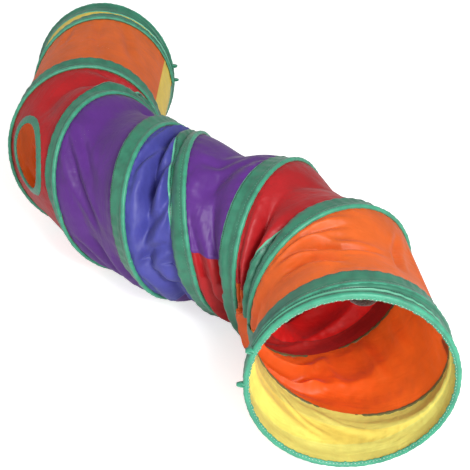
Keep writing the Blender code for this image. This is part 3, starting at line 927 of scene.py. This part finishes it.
def nylon(colour):
    """Coated nylon of one colour, lit a little from behind, with a painted glow inside and the tape's
    painted shadow showing through.
    """
    outside, inside, tape_shadow_colour, glow = NYLON_COLOURS[colour]
    made, tree, shader = new_material(
        f"{colour} nylon", {"Roughness": 0.46, "Specular IOR Level": 0.45, "Sheen Weight": 0.12}
    )
    crinkles = placed(tree, NYLON)
    normal = raised(tree, shader, crinkles.outputs["Height"], 0.0018, 0.62)
    where = add(tree, "ShaderNodeNewGeometry", (-900, 400))
    shadow = placed(tree, TAPE_SHADOW, (-900, 600))
    # The inside colour is the painted glow of the light through the cloth, and the colour where the tape
    # lies behind is the tape's painted shadow.
    within = mixed(tree, shadow.outputs["Taped"], inside, tape_shadow_colour, (-700, 500))
    sides = mixed(tree, where.outputs["Backfacing"], outside, within, (-500, 400))
    # Painted shade: the colour follows the crinkles' soft height, darker where they lie low.
    shade = rescaled(
        tree, crinkles.outputs["Shade"], (-500, 150), from_min=0.3, from_max=0.7, to_min=0.86, to_max=1.06
    )
    tone = add(
        tree, "ShaderNodeMix", (-300, 300), {"Factor": 1.0}, data_type="RGBA", blend_type="MULTIPLY"
    )
    feed(tree, (sides, tone.inputs["A"]), (shade.outputs[0], tone.inputs["B"]))
    through = add(tree, "ShaderNodeBsdfTranslucent", (0, -200))
    both = add(tree, "ShaderNodeMixShader", (300, 100), {"Fac": glow})
    feed(tree, (tone.outputs["Result"], shader.inputs["Base Color"]))
    feed(tree, (tone.outputs["Result"], through.inputs["Color"]), (normal, through.inputs["Normal"]))
    feed(tree, (shader.outputs[0], both.inputs[1]), (through.outputs[0], both.inputs[2]))
    feed(tree, (both.outputs[0], tree.nodes["Material Output"].inputs["Surface"]))
    return made


NYLONS = {colour: nylon(colour) for colour in NYLON_COLOURS}
print("nylon in", ", ".join(NYLONS))

# %% [markdown]
# ## Binding tape
# The tape is one dark and one lighter green in soft clouds, with a fine weave. Where it is folded round
# the wire it is painted lighter, as a painted highlight on the lit ridge; its free half is painted
# darker, as painted shade, with a pale hem and stitches; where it faces into the tunnel it is painted
# olive, as painted shade tinted by the light that comes through the cloth.

# %% The tape's materials


def tape_material(name, colour, dark, pale=None):
    """Woven polyester tape in two tones, with a hem where a pale colour is given for it."""
    made, tree, shader = new_material(name, {"Roughness": 0.46, "Sheen Weight": 0.15})
    cloudy = placed(tree, GRAIN, (-800, 200), {"Scale": 60.0, "Detail": 3.0}).outputs["Grain"]
    weave = placed(tree, GRAIN, (-800, -200), {"Scale": 1100.0}).outputs["Grain"]
    spread = rescaled(tree, cloudy, (-600, 200), from_min=0.05, from_max=0.60)
    tone = mixed(tree, spread.outputs[0], dark, colour, (-400, 200))
    if pale:
        hem = placed(tree, HEM, (-600, 500))
        tone = mixed(tree, hem.outputs["Edge"], tone, pale, (-200, 400))
        thread_tone = tuple(0.55 * value for value in dark)
        tone = mixed(tree, hem.outputs["Stitch"], tone, thread_tone, (-100, 400))
    feed(tree, (tone, shader.inputs["Base Color"]))
    fine = calculate(tree, "MULTIPLY", weave, 0.10, (-500, -200))
    raised(tree, shader, calculate(tree, "ADD", fine, cloudy, (-350, -200)), 0.001, 0.5)
    return made


# The tape is one colour: the ridge's lighter green is painted light, the flap's darker green is painted
# shade, and the inside's olive is painted shade tinted by light through the cloth.
RIDGE = tape_material("tape ridge", (54, 148, 116), (32, 106, 82))
INNER_SHADE = tape_material("tape inside in painted shade", (96, 96, 52), (60, 70, 44))
FLAP = tape_material("tape flap", (42, 118, 91), (24, 80, 62), pale=(88, 170, 138))
BINDING = tape_material("hole binding", (52, 124, 98), (36, 96, 76))
print("tape in four finishes:", ", ".join(m.name for m in (RIDGE, INNER_SHADE, FLAP, BINDING)))

# %% [markdown]
# ## Thread, plush, elastic and steel
# Each of these small finishes is two tones and a bump from one grain: fine for twisted thread,
# coarser for the nap of plush, in between for the elastic's braid. The spring steel hardly shows
# inside the tape; its polish varies a little, as on drawn wire.

# %% Small finishes


def thread(name, colour):
    """Twisted polyester sewing thread."""
    return grained(name, colour, tuple(0.8 * value for value in colour), 1500.0, 0.0002, roughness=0.5)


def spring_steel():
    """Drawn steel wire with a little variation in its polish."""
    made, tree, shader = new_material(
        "spring steel", {"Base Color": linear(150, 152, 156), "Metallic": 1.0}
    )
    marks = placed(tree, GRAIN, values={"Scale": 300.0}).outputs["Grain"]
    polish = rescaled(tree, marks, (-400, 0), to_min=0.24, to_max=0.42)
    feed(tree, (polish.outputs[0], shader.inputs["Roughness"]))
    return made


PALE_THREAD = thread("pale thread", (176, 226, 204))
WHITE_THREAD = thread("white thread", (232, 240, 232))
PLUSH = grained(
    "plush", (52, 56, 54), (22, 24, 23), 420.0, 0.0012, detail=4.0, roughness=0.95, sheen_weight=0.5
)
ELASTIC = grained(
    "elastic", (30, 30, 32), (14, 14, 15), 900.0, 0.0003, detail=4.0, roughness=0.8, sheen_weight=0.2
)
STEEL = spring_steel()
steel_nodes = [name for name in frame["nodes"] if name.startswith(("wire_", "crimp_"))]
for name in steel_nodes:
    frame["nodes"][name].data.materials[0] = STEEL
frame["nodes"]["toy_loop"].data.materials[0] = BINDING
toy_cord.data.materials.append(ELASTIC)
print(len(steel_nodes), "pieces of steel, one loop of tape and one cord of elastic have their finish")

# %% [markdown]
# ## The strips
# Each strip is nearly one turn long. It is made wedge by wedge, cut at its seams. The seams show in
# the picture, and those that it hides keep the same spacing. A seam that falls just past the start
# of a wedge would leave a sliver there, so such a stretch goes to the neighbour. The flat area of
# each piece is its share of the strip as it was cut, so the cloth can be measured against it.

# %% The seams' places
STRIPS = ("yellow", "orange", "red", "purple", "blue", "purple", "red", "orange", "yellow")
SEAMS = (0, 2.0, 4.08, 6.10, 7.75, 9.55, 11.40, 13.15, 14.90, LAST + 1)
SLIVER = 0.13


def mesh_area(made):
    """The surface of an object's mesh in square metres."""
    return sum(face.area for face in made.data.polygons)


def cut_area(first, last):
    """The flat area of a stretch of the tunnel as it was cut."""
    s = np.linspace(first, last, 200)
    return float(cut_length(s).mean() * (last - first) * AROUND)


print("flat areas", [round(cut_area(*SEAMS[k:k + 2]), 3) for k in range(len(STRIPS))])

# %% [markdown]
# ## The peep hole
# The seventh strip has a round hole, in its piece in the twelfth wedge. A boolean cut would leave a
# ragged edge in the grid and spoil its map. Instead the grid's points nearest the rim are pulled
# onto it, and the faces inside are left out, so the rim is round and the map stays whole.

# %% Cutting the peep hole
HOLED = (6, 11)
HOLE_RADIUS = 0.046
SNAP = 0.0019


def from_hole(s, u):
    """Where places of the cloth lie from the peep hole's centre, in metres along and behind."""
    return (s - HOLE_AT[0]) * AROUND, u * room_at(s) - HOLE_AT[1]


def snapped_to_hole(s, u):
    """The grid's places, with those nearest the peep hole's rim moved onto it."""
    along, behind = from_hole(s, u)
    away = np.maximum(np.hypot(along, behind), 1e-6)
    pull = np.where(np.abs(away - HOLE_RADIUS) < SNAP, HOLE_RADIUS / away, 1.0)
    s = HOLE_AT[0] + along * pull / AROUND
    return s, (HOLE_AT[1] + behind * pull) / room_at(s)


def round_hole(s, u):
    """Which faces of the grid lie outside the peep hole."""
    along, behind = from_hole(s, u)
    away = np.hypot(along, behind)
    return (away[:-1, :-1] + away[:-1, 1:] + away[1:, 1:] + away[1:, :-1]) / 4 > HOLE_RADIUS


print("the hole is", round(HOLE_RADIUS * 2000), "mm across")

# %% Sewing the strips
STRIP_ROWS = 42
HOLED_ROWS = 72
WIDEST_SHARE = 1.25
NARROWEST = 0.0101


def strip_pieces(number, colour):
    """The pieces of one strip, one for each wedge that it passes."""
    made = []
    for wedge in range(LAST):
        first, last = SEAMS[number], SEAMS[number + 1]
        if wedge < first < wedge + SLIVER:
            first = wedge
        if wedge < last < wedge + SLIVER:
            last = wedge
        low, high = max(first, wedge), min(last, wedge + 2)
        if high - low < 0.01:
            continue
        holed = (number, wedge) == HOLED
        s, u, weights = wedge_grid(wedge, low, high, rows=HOLED_ROWS if holed else STRIP_ROWS)
        keep = True
        if holed:
            s, u = snapped_to_hole(s, u)
            keep = round_hole(s, u)
        name = f"strip_{number + 1}_{colour}_{wedge + 1}"
        piece = sheet_object(
            name, s, cloth(s, u), outward(s, u), weights, tape_cover(s, u), own=True, keep=keep
        )
        piece.data.materials.append(NYLONS[colour])
        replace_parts(piece, f"panel_{number + 1}_{colour}")
        made.append((piece, (high - low) * AROUND, wedge))
    return made


strips = []
for number, colour in enumerate(STRIPS):
    pieces = strip_pieces(number, colour)
    whole = sum(mesh_area(piece) for piece, _, _ in pieces)
    flat = cut_area(SEAMS[number], SEAMS[number + 1])
    if number == HOLED[0]:
        flat -= math.pi * HOLE_RADIUS**2
    print(f"strip {number + 1} {colour}: {len(pieces)} pieces, {whole / flat:.2f} of the cut")
    for piece, length, wedge in pieces:
        area = mesh_area(piece) * flat / whole
        width = max(area / length * WIDEST_SHARE, NARROWEST)  # the cut's widest part
        strips.append((piece, (width, length), area, wedge))

# %% [markdown]
# ## The ridges
# The wire runs in a channel of folded tape, which shows as a round ridge on each half turn. A tube whose
# radius swells a little at uneven steps looks puckered by its stitches, which a bevelled curve wouldn't.
# The faces that look into the tunnel have the finish in painted olive shade, except on the rings.

# %% The ridge round the wire
RIDGE_RADIUS = 0.0031
RIDGE_STEPS = 120
END_LIFT = 0.0005
FACES_IN = 0.55


def ridge(body):
    """The channel of tape round one half turn of the wire, or round a whole ring."""
    if body == 0:
        turns = np.linspace(math.pi, -math.pi, 2 * RIDGE_STEPS + 1)
    elif body == LAST:
        turns = np.linspace(0, -2 * math.pi, 2 * RIDGE_STEPS + 1)
    elif body % 2:
        turns = np.linspace(math.pi, 0, RIDGE_STEPS + 1)
    else:
        turns = np.linspace(0, -math.pi, RIDGE_STEPS + 1)
    line = coil_point(np.full(len(turns), body), turns)
    if body not in (0, LAST):
        up = END_LIFT if body % 2 == 0 else -END_LIFT
        line[0, 2] += up
        line[-1, 2] += up
    steps = np.arange(len(turns))
    radii = RIDGE_RADIUS + 0.00022 * np.sin(steps * 1.9 + body)
    radii = radii + 0.00016 * np.sin(steps * 0.73 + 2 * body)
    made = tube(f"tape_{body:02d}_{BODIES[body]}", line, radii, sides=16)
    made.data.materials.append(RIDGE)
    made.data.materials.append(INNER_SHADE)
    centre = Vector((*MIDDLES[body], AXIS))
    for vertex in made.data.vertices:
        vertex.co.z = max(vertex.co.z, 0.0003)
    for face in made.data.polygons:
        towards = (centre - face.center).normalized()
        # Faces that look into the tunnel get the tape in painted olive shade.
        if 0 < body < LAST and face.normal.dot(towards) > FACES_IN:
            face.material_index = 1
    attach(made, BODIES[body])
    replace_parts(made, f"tape_{BODIES[body]}")
    return made


ridges = [ridge(body) for body in range(LAST + 1)]
print(len(ridges), "ridges")

# %% [markdown]
# ## The tape's free half
# Half of the tape's width wraps the wire, and the other half lies on the cloth behind it. At the
# two rings, tape also lies ahead of the next turn, so two bands meet there. It could be a solid
# strip of its own, but tape is thin: a grid that lies just above the cloth is enough, as long as it
# follows the cloth's own formula. It starts high on the channel, dips at the row of stitches,
# wrinkles a little, ends in a doubled hem, and its edge comes down onto the cloth's real folds.

# %% How high the tape stands
TAPE_THICK = 0.0010
CHANNEL_TALL = 0.0034
CHANNEL_REACH = 0.014
STITCH_AT = 0.0062
STITCH_DIP = 0.0010
WRINKLE_TALL = 0.0004
HEM_WIDE = 0.005
HEM_TALL = 0.0004


def tape_height(s, from_wire, from_edge):
    """How far the tape stands off the cloth, from the channel to the hem."""
    height = CHANNEL_TALL * (1 - smooth(from_wire / CHANNEL_REACH)) + TAPE_THICK
    height = height - STITCH_DIP * np.exp(-(((from_wire - STITCH_AT) / 0.0012) ** 2))
    wrinkle = WRINKLE_TALL * np.sin(s * AROUND / 0.0025 + 3 * np.sin(s * 7))
    height = height + wrinkle * smooth((from_wire - 0.006) / 0.004)
    height = height + HEM_TALL * smooth((HEM_WIDE - from_edge) / 0.001)
    stands = 0.005 * smooth((s - 9.9) / 0.5) * smooth((15 - s) / 0.2)
    stands = stands * np.clip(np.sin(wire_angle(half_of(s), s)), 0, 1)
    return height * smooth(from_edge / 0.0012) + 0.00025 + stands * smooth(from_wire / FLAP_WIDTH)


across_tape = np.array([0.0, STITCH_AT, 0.012, 0.023])
heights = tape_height(np.full(4, 2.5), across_tape, FLAP_WIDTH - across_tape)
print("tape stands", np.round(heights * 1000, 1).tolist(), "mm off, from the wire to the hem")

# %% The tape's free half
FLAP_ROWS = 16


def flap(name, wedge, first, last, ahead=False):
    """The tape's free half in one wedge, which lies on the cloth behind or ahead of the wire."""
    s, half = places(first, last)
    room = room_at(s)
    start, end, whole_start, whole_end = wedge_span(wedge, s, half)
    width = np.maximum(tape_reach(s, room)[int(ahead)], 1e-5)
    if ahead:
        start = np.maximum(start, 1 - width / room)
    else:
        end = np.minimum(end, width / room)
    start = np.minimum(start, end)
    u = start[:, None] + (end - start)[:, None] * np.linspace(0, 1, FLAP_ROWS + 1)
    size = np.maximum(whole_end - whole_start, 1e-4)
    weights = np.clip((u - whole_start[:, None]) / size[:, None], 0, 1)
    grid, room, width = np.broadcast_to(s[:, None], u.shape), room[:, None], width[:, None]
    from_wire = (1 - u if ahead else u) * room
    from_edge = width - from_wire
    outside = outward(grid, u, folded=False)
    points, lying = cloth(grid, u, folded=False), cloth(grid, u)
    points = points + (lying - points) * smooth((from_wire / width - 0.75) / 0.22)[..., None]
    points = points + outside * tape_height(grid, from_wire, from_edge)[..., None]
    points[..., 2] = np.maximum(points[..., 2], 0.0004)
    made = sheet_object(name, grid, points, outside, weights, from_edge)
    made.data.materials.append(FLAP)
    return made, wedge


spans = [(0, 0, 2), (1, 1, 3), (2, 2, 3), (3, 4, 5)]
spans += [(wedge, wedge, min(wedge + 2, LAST + 1)) for wedge in range(4, LAST)]
flaps = [flap(f"flap_{wedge + 1}", wedge, first, last) for wedge, first, last in spans]
flaps += [flap(f"front_flap_{wedge + 1}", wedge, wedge, 2, ahead=True) for wedge in (0, 1)]
flaps += [flap(f"back_flap_{LAST - 1}", LAST - 2, LAST - 1, LAST, ahead=True)]
flaps += [flap(f"back_flap_{LAST}", LAST - 1, LAST - 1, LAST + 1, ahead=True)]
print(len(flaps), "flaps")

# %% [markdown]
# ## The lips of the mouths
# Inside each ring the tape's raw edge stands a little way into the mouth, most at the top. It was
# cut, not hemmed, so its rim is uneven. Five rings of points, joined by faces, give both of its
# sides and the rim between them.

# %% The lip inside each mouth
LIP_SECTION = ((0.0022, -0.0012), (0.0034, -0.0016), (None, -0.0004), (None, 0.0004), (0.0034, 0.0006))


def lip_depth(turns):
    """How far the lip stands into the mouth: most at the top, and little past the ridge beneath."""
    return 0.0042 + 0.0022 * np.clip(np.sin(turns), 0, 1)


def ring_lip(body):
    """The raw edge of one ring's tape; where the section gives no depth, its frayed rim."""
    count = 360
    turns = np.linspace(0, 2 * math.pi, count, endpoint=False)
    fray = 0.0007 * np.sin(turns * 61) * np.sin(turns * 17) + 0.0004 * np.sin(turns * 143)
    side = -1 if body == 0 else 1
    points = []
    for inward, along in LIP_SECTION:
        depth = lip_depth(turns) + fray if inward is None else np.full(count, inward)
        points.append(coil_point(np.full(count, body), turns, depth, -side * along))
    faces = rings_of_faces(len(points), count)
    made = link_mesh(f"lip_{BODIES[body]}", np.concatenate(points), faces)
    made.data.shade_smooth()
    made.data.materials.append(RIDGE)
    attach(made, BODIES[body])
    return made


lips = [ring_lip(0), ring_lip(LAST)]
depths = np.round(lip_depth(np.array([math.pi / 2, 0])) * 1000, 1)
print(len(lips), "lips, which stand in by", depths, "mm at the top and at the side")

# %% [markdown]
# ## Stitches
# Rows of lockstitch hold the tape: one behind most ridges, and one round each mouth through the
# lip. A texture would do from far away. Up close, raised stitches catch the light, so each is a
# small bead of thread with eight faces, and one object holds a whole row.

# %% A row of stitches


def dashes(name, starts, ends, ups, thick, material, body):
    """Short raised stitches from start to end points, each a small six-sided bead of thread."""
    points, faces = [], []
    for start, end, up in zip(starts, ends, ups):
        side = np.cross(end - start, up)
        side = side / np.linalg.norm(side) * thick
        rise = up * thick * 1.2
        middle = (start + end) / 2
        first = len(points)
        points += [start, middle - side, end, middle + side, middle + rise, middle - rise * 0.4]
        for a, b in ((0, 1), (1, 2), (2, 3), (3, 0)):
            faces.append((first + a, first + b, first + 4))
            faces.append((first + b, first + a, first + 5))
    made = link_mesh(name, points, faces)
    made.data.materials.append(material)
    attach(made, body)
    return made


print("each stitch has 6 points and 8 faces")

# %% Stitches behind the ridges and round the mouths
STITCH_STEP = 0.0045
STITCH_LONG = 0.0026
ROOM_FOR_STITCHES = 0.022
THREAD_THICK = 0.00028
LIP_THREAD_THICK = 0.00034
LIP_STITCHES = 170
LIP_STITCH_TURN = 0.018
LIP_STITCH_DEPTH = 0.72
LIP_STITCH_OFF = 0.0017


def seam_stitches(body):
    """The row of stitches behind one half turn's ridge."""
    half = body + 1
    s = np.arange(half + 0.012, half + 0.99, STITCH_STEP / AROUND)
    rooms = room_at(s)
    s, rooms = s[rooms > ROOM_FOR_STITCHES], rooms[rooms > ROOM_FOR_STITCHES]
    u = STITCH_AT / rooms
    up = outward(s, u, False)
    lift = CHANNEL_TALL * (1 - smooth(STITCH_AT / CHANNEL_REACH)) + 0.0003
    starts = cloth(s, u, False) + up * lift
    ends = cloth(s + STITCH_LONG / AROUND, u, False) + up * lift
    name = f"stitches_{body:02d}"
    return dashes(name, starts, ends, up, THREAD_THICK, PALE_THREAD, BODIES[body])


def lip_stitches(body):
    """The stitches round a mouth, through its lip."""
    turns = np.linspace(0, 2 * math.pi, LIP_STITCHES, endpoint=False)
    side = -1 if body == 0 else 1
    index = np.full(len(turns), body)
    depth = LIP_STITCH_DEPTH * lip_depth(turns)
    starts = coil_point(index, turns, depth, side * LIP_STITCH_OFF)
    ends = coil_point(index, turns + LIP_STITCH_TURN, depth, side * LIP_STITCH_OFF)
    up = np.tile(np.append(side * backward(ANGLES[body]), 0.0), (len(turns), 1))
    name = f"stitches_{BODIES[body]}"
    return dashes(name, starts, ends, up, LIP_THREAD_THICK, WHITE_THREAD, BODIES[body])


stitches = [seam_stitches(body) for body in (1, *range(3, LAST - 1))]
stitches += [lip_stitches(0), lip_stitches(LAST)]
print(len(stitches), "rows of stitches")

# %% [markdown]
# ## The tape's folded ends
# Where the tape of each ring begins, its end is folded over and stands out as a small nub, and a
# corner of it stands out a little higher. Both are a strip that is bent round on itself: a loop
# whose two layers lie almost on each other, drawn from the wire outwards.

# %% The folded tape ends


def tidy_normals(made):
    """Turns all faces of a closed piece outwards."""
    bm = bmesh.new()
    bm.from_mesh(made.data)
    bmesh.ops.recalc_face_normals(bm, faces=bm.faces)
    bm.to_mesh(made.data)
    bm.free()
    made.data.shade_smooth()


def folded_tab(name, body, turn, reach, wide=0.0036, thick=0.0009, steps=29):
    """A folded end of the ring's tape, which stands out from the wire by this reach."""
    side = -1 if body == 0 else 1
    right = np.append(across(ANGLES[body]), 0.0) * side
    back = np.append(backward(ANGLES[body]), 0.0)
    base = coil_point(np.array(body), np.array(turn))
    points = []
    for fold in np.linspace(-0.96 * math.pi, 0.96 * math.pi, steps):
        out = reach * (0.5 + 0.5 * math.cos(fold))
        up = 0.0019 * math.sin(fold) * (1.15 - 0.35 * math.cos(fold))
        for along, inner in ((-wide, 0.0), (wide, 0.0), (wide, thick), (-wide, thick)):
            spot = right * (out - inner * math.cos(fold)) + back * along * (1 - 0.3 * out / reach)
            points.append(base + spot + np.array([0, 0, up - inner * math.sin(fold)]))
    faces = rings_of_faces(steps, 4)
    faces += [(3, 2, 1, 0), tuple(len(points) - 4 + k for k in range(4))]
    made = link_mesh(name, points, faces)
    tidy_normals(made)
    made.data.materials.append(RIDGE)
    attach(made, BODIES[body])
    return made


def tape_ends(node, body, side_turn, corner_turn):
    """The folded end that the model holds, and the corner of tape that stands out above it."""
    low, high = (np.array(corner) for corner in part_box(node))
    wire = coil_point(np.array(body), np.array(side_turn))
    reach = np.linalg.norm(((low + high) / 2 - wire)[:2]) + 0.003
    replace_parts(folded_tab(f"fold_{BODIES[body]}", body, side_turn, reach), node)
    folded_tab(f"corner_{BODIES[body]}", body, corner_turn, 0.0105, wide=0.0048)
    print("folded end reaches", round(float(reach) * 1000, 1), "mm")


tape_ends("tape_end_front", 0, math.pi, math.pi - 0.40)
tape_ends("tape_end_back", LAST, 0.0, 0.19)

# %% [markdown]
# ## The seams between the strips
# Two strips meet in a felled seam: the cloth is doubled for about 6 mm and stands up a little in
# the middle. It shows as a line across the tunnel from one turn to the next. It is a narrow grid on
# the cloth's own surface, so that it sags and folds with it.

# %% The seams between the strips
SEAM_HALF = 0.0075
SEAM_TALL = 0.0007
SHORTEST_SEAM = 0.03


def seam(number, wedge):
    """A felled seam, from wire to wire, where two strips are sewn together."""
    at = SEAMS[number]
    s, u, weights = wedge_grid(wedge, at - SEAM_HALF, at + SEAM_HALF, rows=24)
    if (u.max(axis=1) - u.min(axis=1)).max() < SHORTEST_SEAM:
        return None
    middle = 1 - np.abs(np.linspace(-1, 1, s.shape[0]))[:, None]
    lift = 0.0002 + SEAM_TALL * middle * np.ones(s.shape)
    facing = outward(s, u)
    points = cloth(s, u) + facing * lift[..., None]
    cover = tape_cover(s, u)
    made = sheet_object(f"seam_{number}_{wedge + 1}", s, points, facing, weights, cover)
    made.data.materials.append(NYLONS[STRIPS[number]])
    return made, wedge


seams = [
    seam(number, wedge)
    for number in range(1, len(STRIPS))
    for wedge in (int(SEAMS[number]) - 1, int(SEAMS[number]))
    if 0 <= wedge < LAST and int(SEAMS[number] - SEAM_HALF) == int(SEAMS[number] + SEAM_HALF)
]
seams = [made for made in seams if made]
print(len(seams), "seam pieces,", round(2000 * SEAM_HALF * AROUND, 1), "mm wide")

# %% [markdown]
# ## The peep hole's binding
# The hole in the back red strip lets a cat look out. Its raw edge is bound with the same tape,
# folded over it. The binding's section, given as how far out of the hole's rim and how far off the
# cloth each corner lies, is carried round the hole on the cloth's surface, with small puckers.

# %% The peep hole's binding
BINDING_SECTION = (
    (0.0062, 0.0004), (0.0056, 0.0012), (0.0010, 0.0017), (-0.0025, 0.0021), (-0.0042, 0.0014),
    (-0.0047, 0.0), (-0.0042, -0.0014), (-0.0025, -0.0021), (0.0010, -0.0017), (0.0062, -0.0006),
)
BINDING_STEPS = 120


def binding():
    """The tape that is folded over the peep hole's edge."""
    turns = np.linspace(0, 2 * math.pi, BINDING_STEPS, endpoint=False)[:, None]
    pucker = 1 + 0.06 * np.sin(np.arange(BINDING_STEPS) * 1.7)[:, None]
    reach, off = np.array(BINDING_SECTION).T
    away = HOLE_RADIUS + reach * pucker
    s = (HOLE_AT[0] + away * np.cos(turns) / AROUND).ravel()
    u = (HOLE_AT[1] + away * np.sin(turns)).ravel() / room_at(s)
    points = cloth(s, u) + outward(s, u) * (off * pucker).ravel()[:, None]
    faces = rings_of_faces(BINDING_STEPS, len(BINDING_SECTION), closed=True)
    made = link_mesh("hole_binding", points, faces)
    tidy_normals(made)
    made.data.materials.append(BINDING)
    _, _, start, end = wedge_span(HOLED[1], s, half_of(s))
    bend(made, np.clip((u - start) / np.maximum(end - start, 1e-4), 0, 1))
    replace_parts(made, "peep_hole_binding")
    return made


hole_binding = binding()
low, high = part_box("peep_hole_binding")
print("the model's binding is at", [round(x, 3) for x in (Vector(low) + Vector(high)) / 2])
print("this one is at", np.round(np.mean([v.co for v in hole_binding.data.vertices], axis=0), 3))

# %% [markdown]
# ## The toy
# A plush ball hangs on the elastic. A plain sphere would look like plastic: here every point of a fine
# ball moves in or out by a small noise, for the tufts, and a groove runs round it where its two halves
# are sewn together.

# %% The ball


def plush_ball():
    """A ball with a short, tufted nap and one seam."""
    seam_axis = Vector((0.8, 0.5, 0.33)).normalized()
    bm = bmesh.new()
    bmesh.ops.create_icosphere(bm, subdivisions=6, radius=BALL_RADIUS - 0.0008)
    for vertex in bm.verts:
        away = vertex.co.normalized()
        tuft = noise.noise(away * 24) * 0.0006 + noise.noise(away * 70) * 0.0005
        groove = 0.0011 * math.exp(-((away.dot(seam_axis) / 0.045) ** 2))
        vertex.co += away * (tuft - groove)
    mesh = bpy.data.meshes.new("plush_ball")
    bm.to_mesh(mesh)
    bm.free()
    mesh.shade_smooth()
    mesh.materials.append(PLUSH)
    made = bpy.data.objects.new("plush_ball", mesh)
    bpy.context.scene.collection.objects.link(made)
    made.location = TOY_TOP - Vector((0, 0, BALL_DROP))
    return made


ball = plush_ball()
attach(ball, "toy")
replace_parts(ball, "toy_ball")
print("ball at", [round(x, 3) for x in ball.location])

# %% [markdown]
# ## The trims of each wedge
# Each piece of a strip holds the flat size it was cut to, its area and its wedge. The tape's flaps and
# the seams are listed by the wedge that they lie on, and the lists of the wedges that hold a strip's
# piece are taken out again.

# %% The trims of each wedge
sewn_on = {}
for trim, wedge in flaps + seams:
    sewn_on.setdefault(wedge, []).append(trim)
for piece, size, area, wedge in strips:
    sewn_on.pop(wedge, [])
print(len(strips), "pieces of cloth declared")

# %% [markdown]
# ## Floor and light
# The object stands on a white sweep in soft studio light: a key light from the front right, a weak
# fill from the left, and a small low light that reaches into the front mouth. The white of the
# background is for the camera alone: Light Path's Is Camera Ray brightens the floor and the world
# there, and neither puts more light on the cloth.

# %% Floor and world
WORLD_LIGHT = 0.45
FLOOR_GLOW = 0.58

floor = link_mesh("floor", [(-6, -6, 0), (6, -6, 0), (6, 6, 0), (-6, 6, 0)], [(0, 1, 2, 3)])
floor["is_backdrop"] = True
white, tree, shader = new_material("white floor", {"Base Color": linear(236, 236, 236), "Roughness": 0.9})
floor.data.materials.append(white)
shader.inputs["Emission Color"].default_value = (1, 1, 1, 1)
seen = add(tree, "ShaderNodeLightPath", (-400, -300)).outputs["Is Camera Ray"]
feed(tree, (calculate(tree, "MULTIPLY", seen, FLOOR_GLOW), shader.inputs["Emission Strength"]))

world = bpy.data.worlds.new("studio")
bpy.context.scene.world = world
world.use_nodes = True
tree = world.node_tree
back = tree.nodes["Background"]
back.inputs["Color"].default_value = (1, 1, 1, 1)
seen = add(tree, "ShaderNodeLightPath", (-600, 0)).outputs["Is Camera Ray"]
strength = calculate(tree, "MULTIPLY", seen, 1 - WORLD_LIGHT, (-400, 0))
strength = calculate(tree, "ADD", strength, WORLD_LIGHT, (-200, 0))
feed(tree, (strength, back.inputs["Strength"]))
print("world at", WORLD_LIGHT, "and white for the camera")

# %% Lamps


def softbox(name, at, aim, size, power):
    """A broad square light that looks at a point."""
    data = bpy.data.lights.new(name, "AREA")
    data.shape = "SQUARE"
    data.size = size
    data.energy = power
    made = bpy.data.objects.new(name, data)
    bpy.context.scene.collection.objects.link(made)
    made.location = at
    made.rotation_euler = (Vector(aim) - Vector(at)).to_track_quat("-Z", "Y").to_euler()
    return made


softbox("key light", (0.9, -1.6, 1.7), (0, -0.1, 0.1), 0.7, 45)
softbox("fill light", (-1.6, -0.7, 1.5), (0, 0, 0.1), 1.6, 8)
softbox("mouth light", (0.35, -1.5, 0.55), (0.15, -0.3, 0.1), 0.5, 7)
print("three softboxes")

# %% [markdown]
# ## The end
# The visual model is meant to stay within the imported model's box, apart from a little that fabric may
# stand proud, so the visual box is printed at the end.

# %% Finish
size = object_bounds()
print("visual box", [[round(x, 4) for x in p] for p in size])
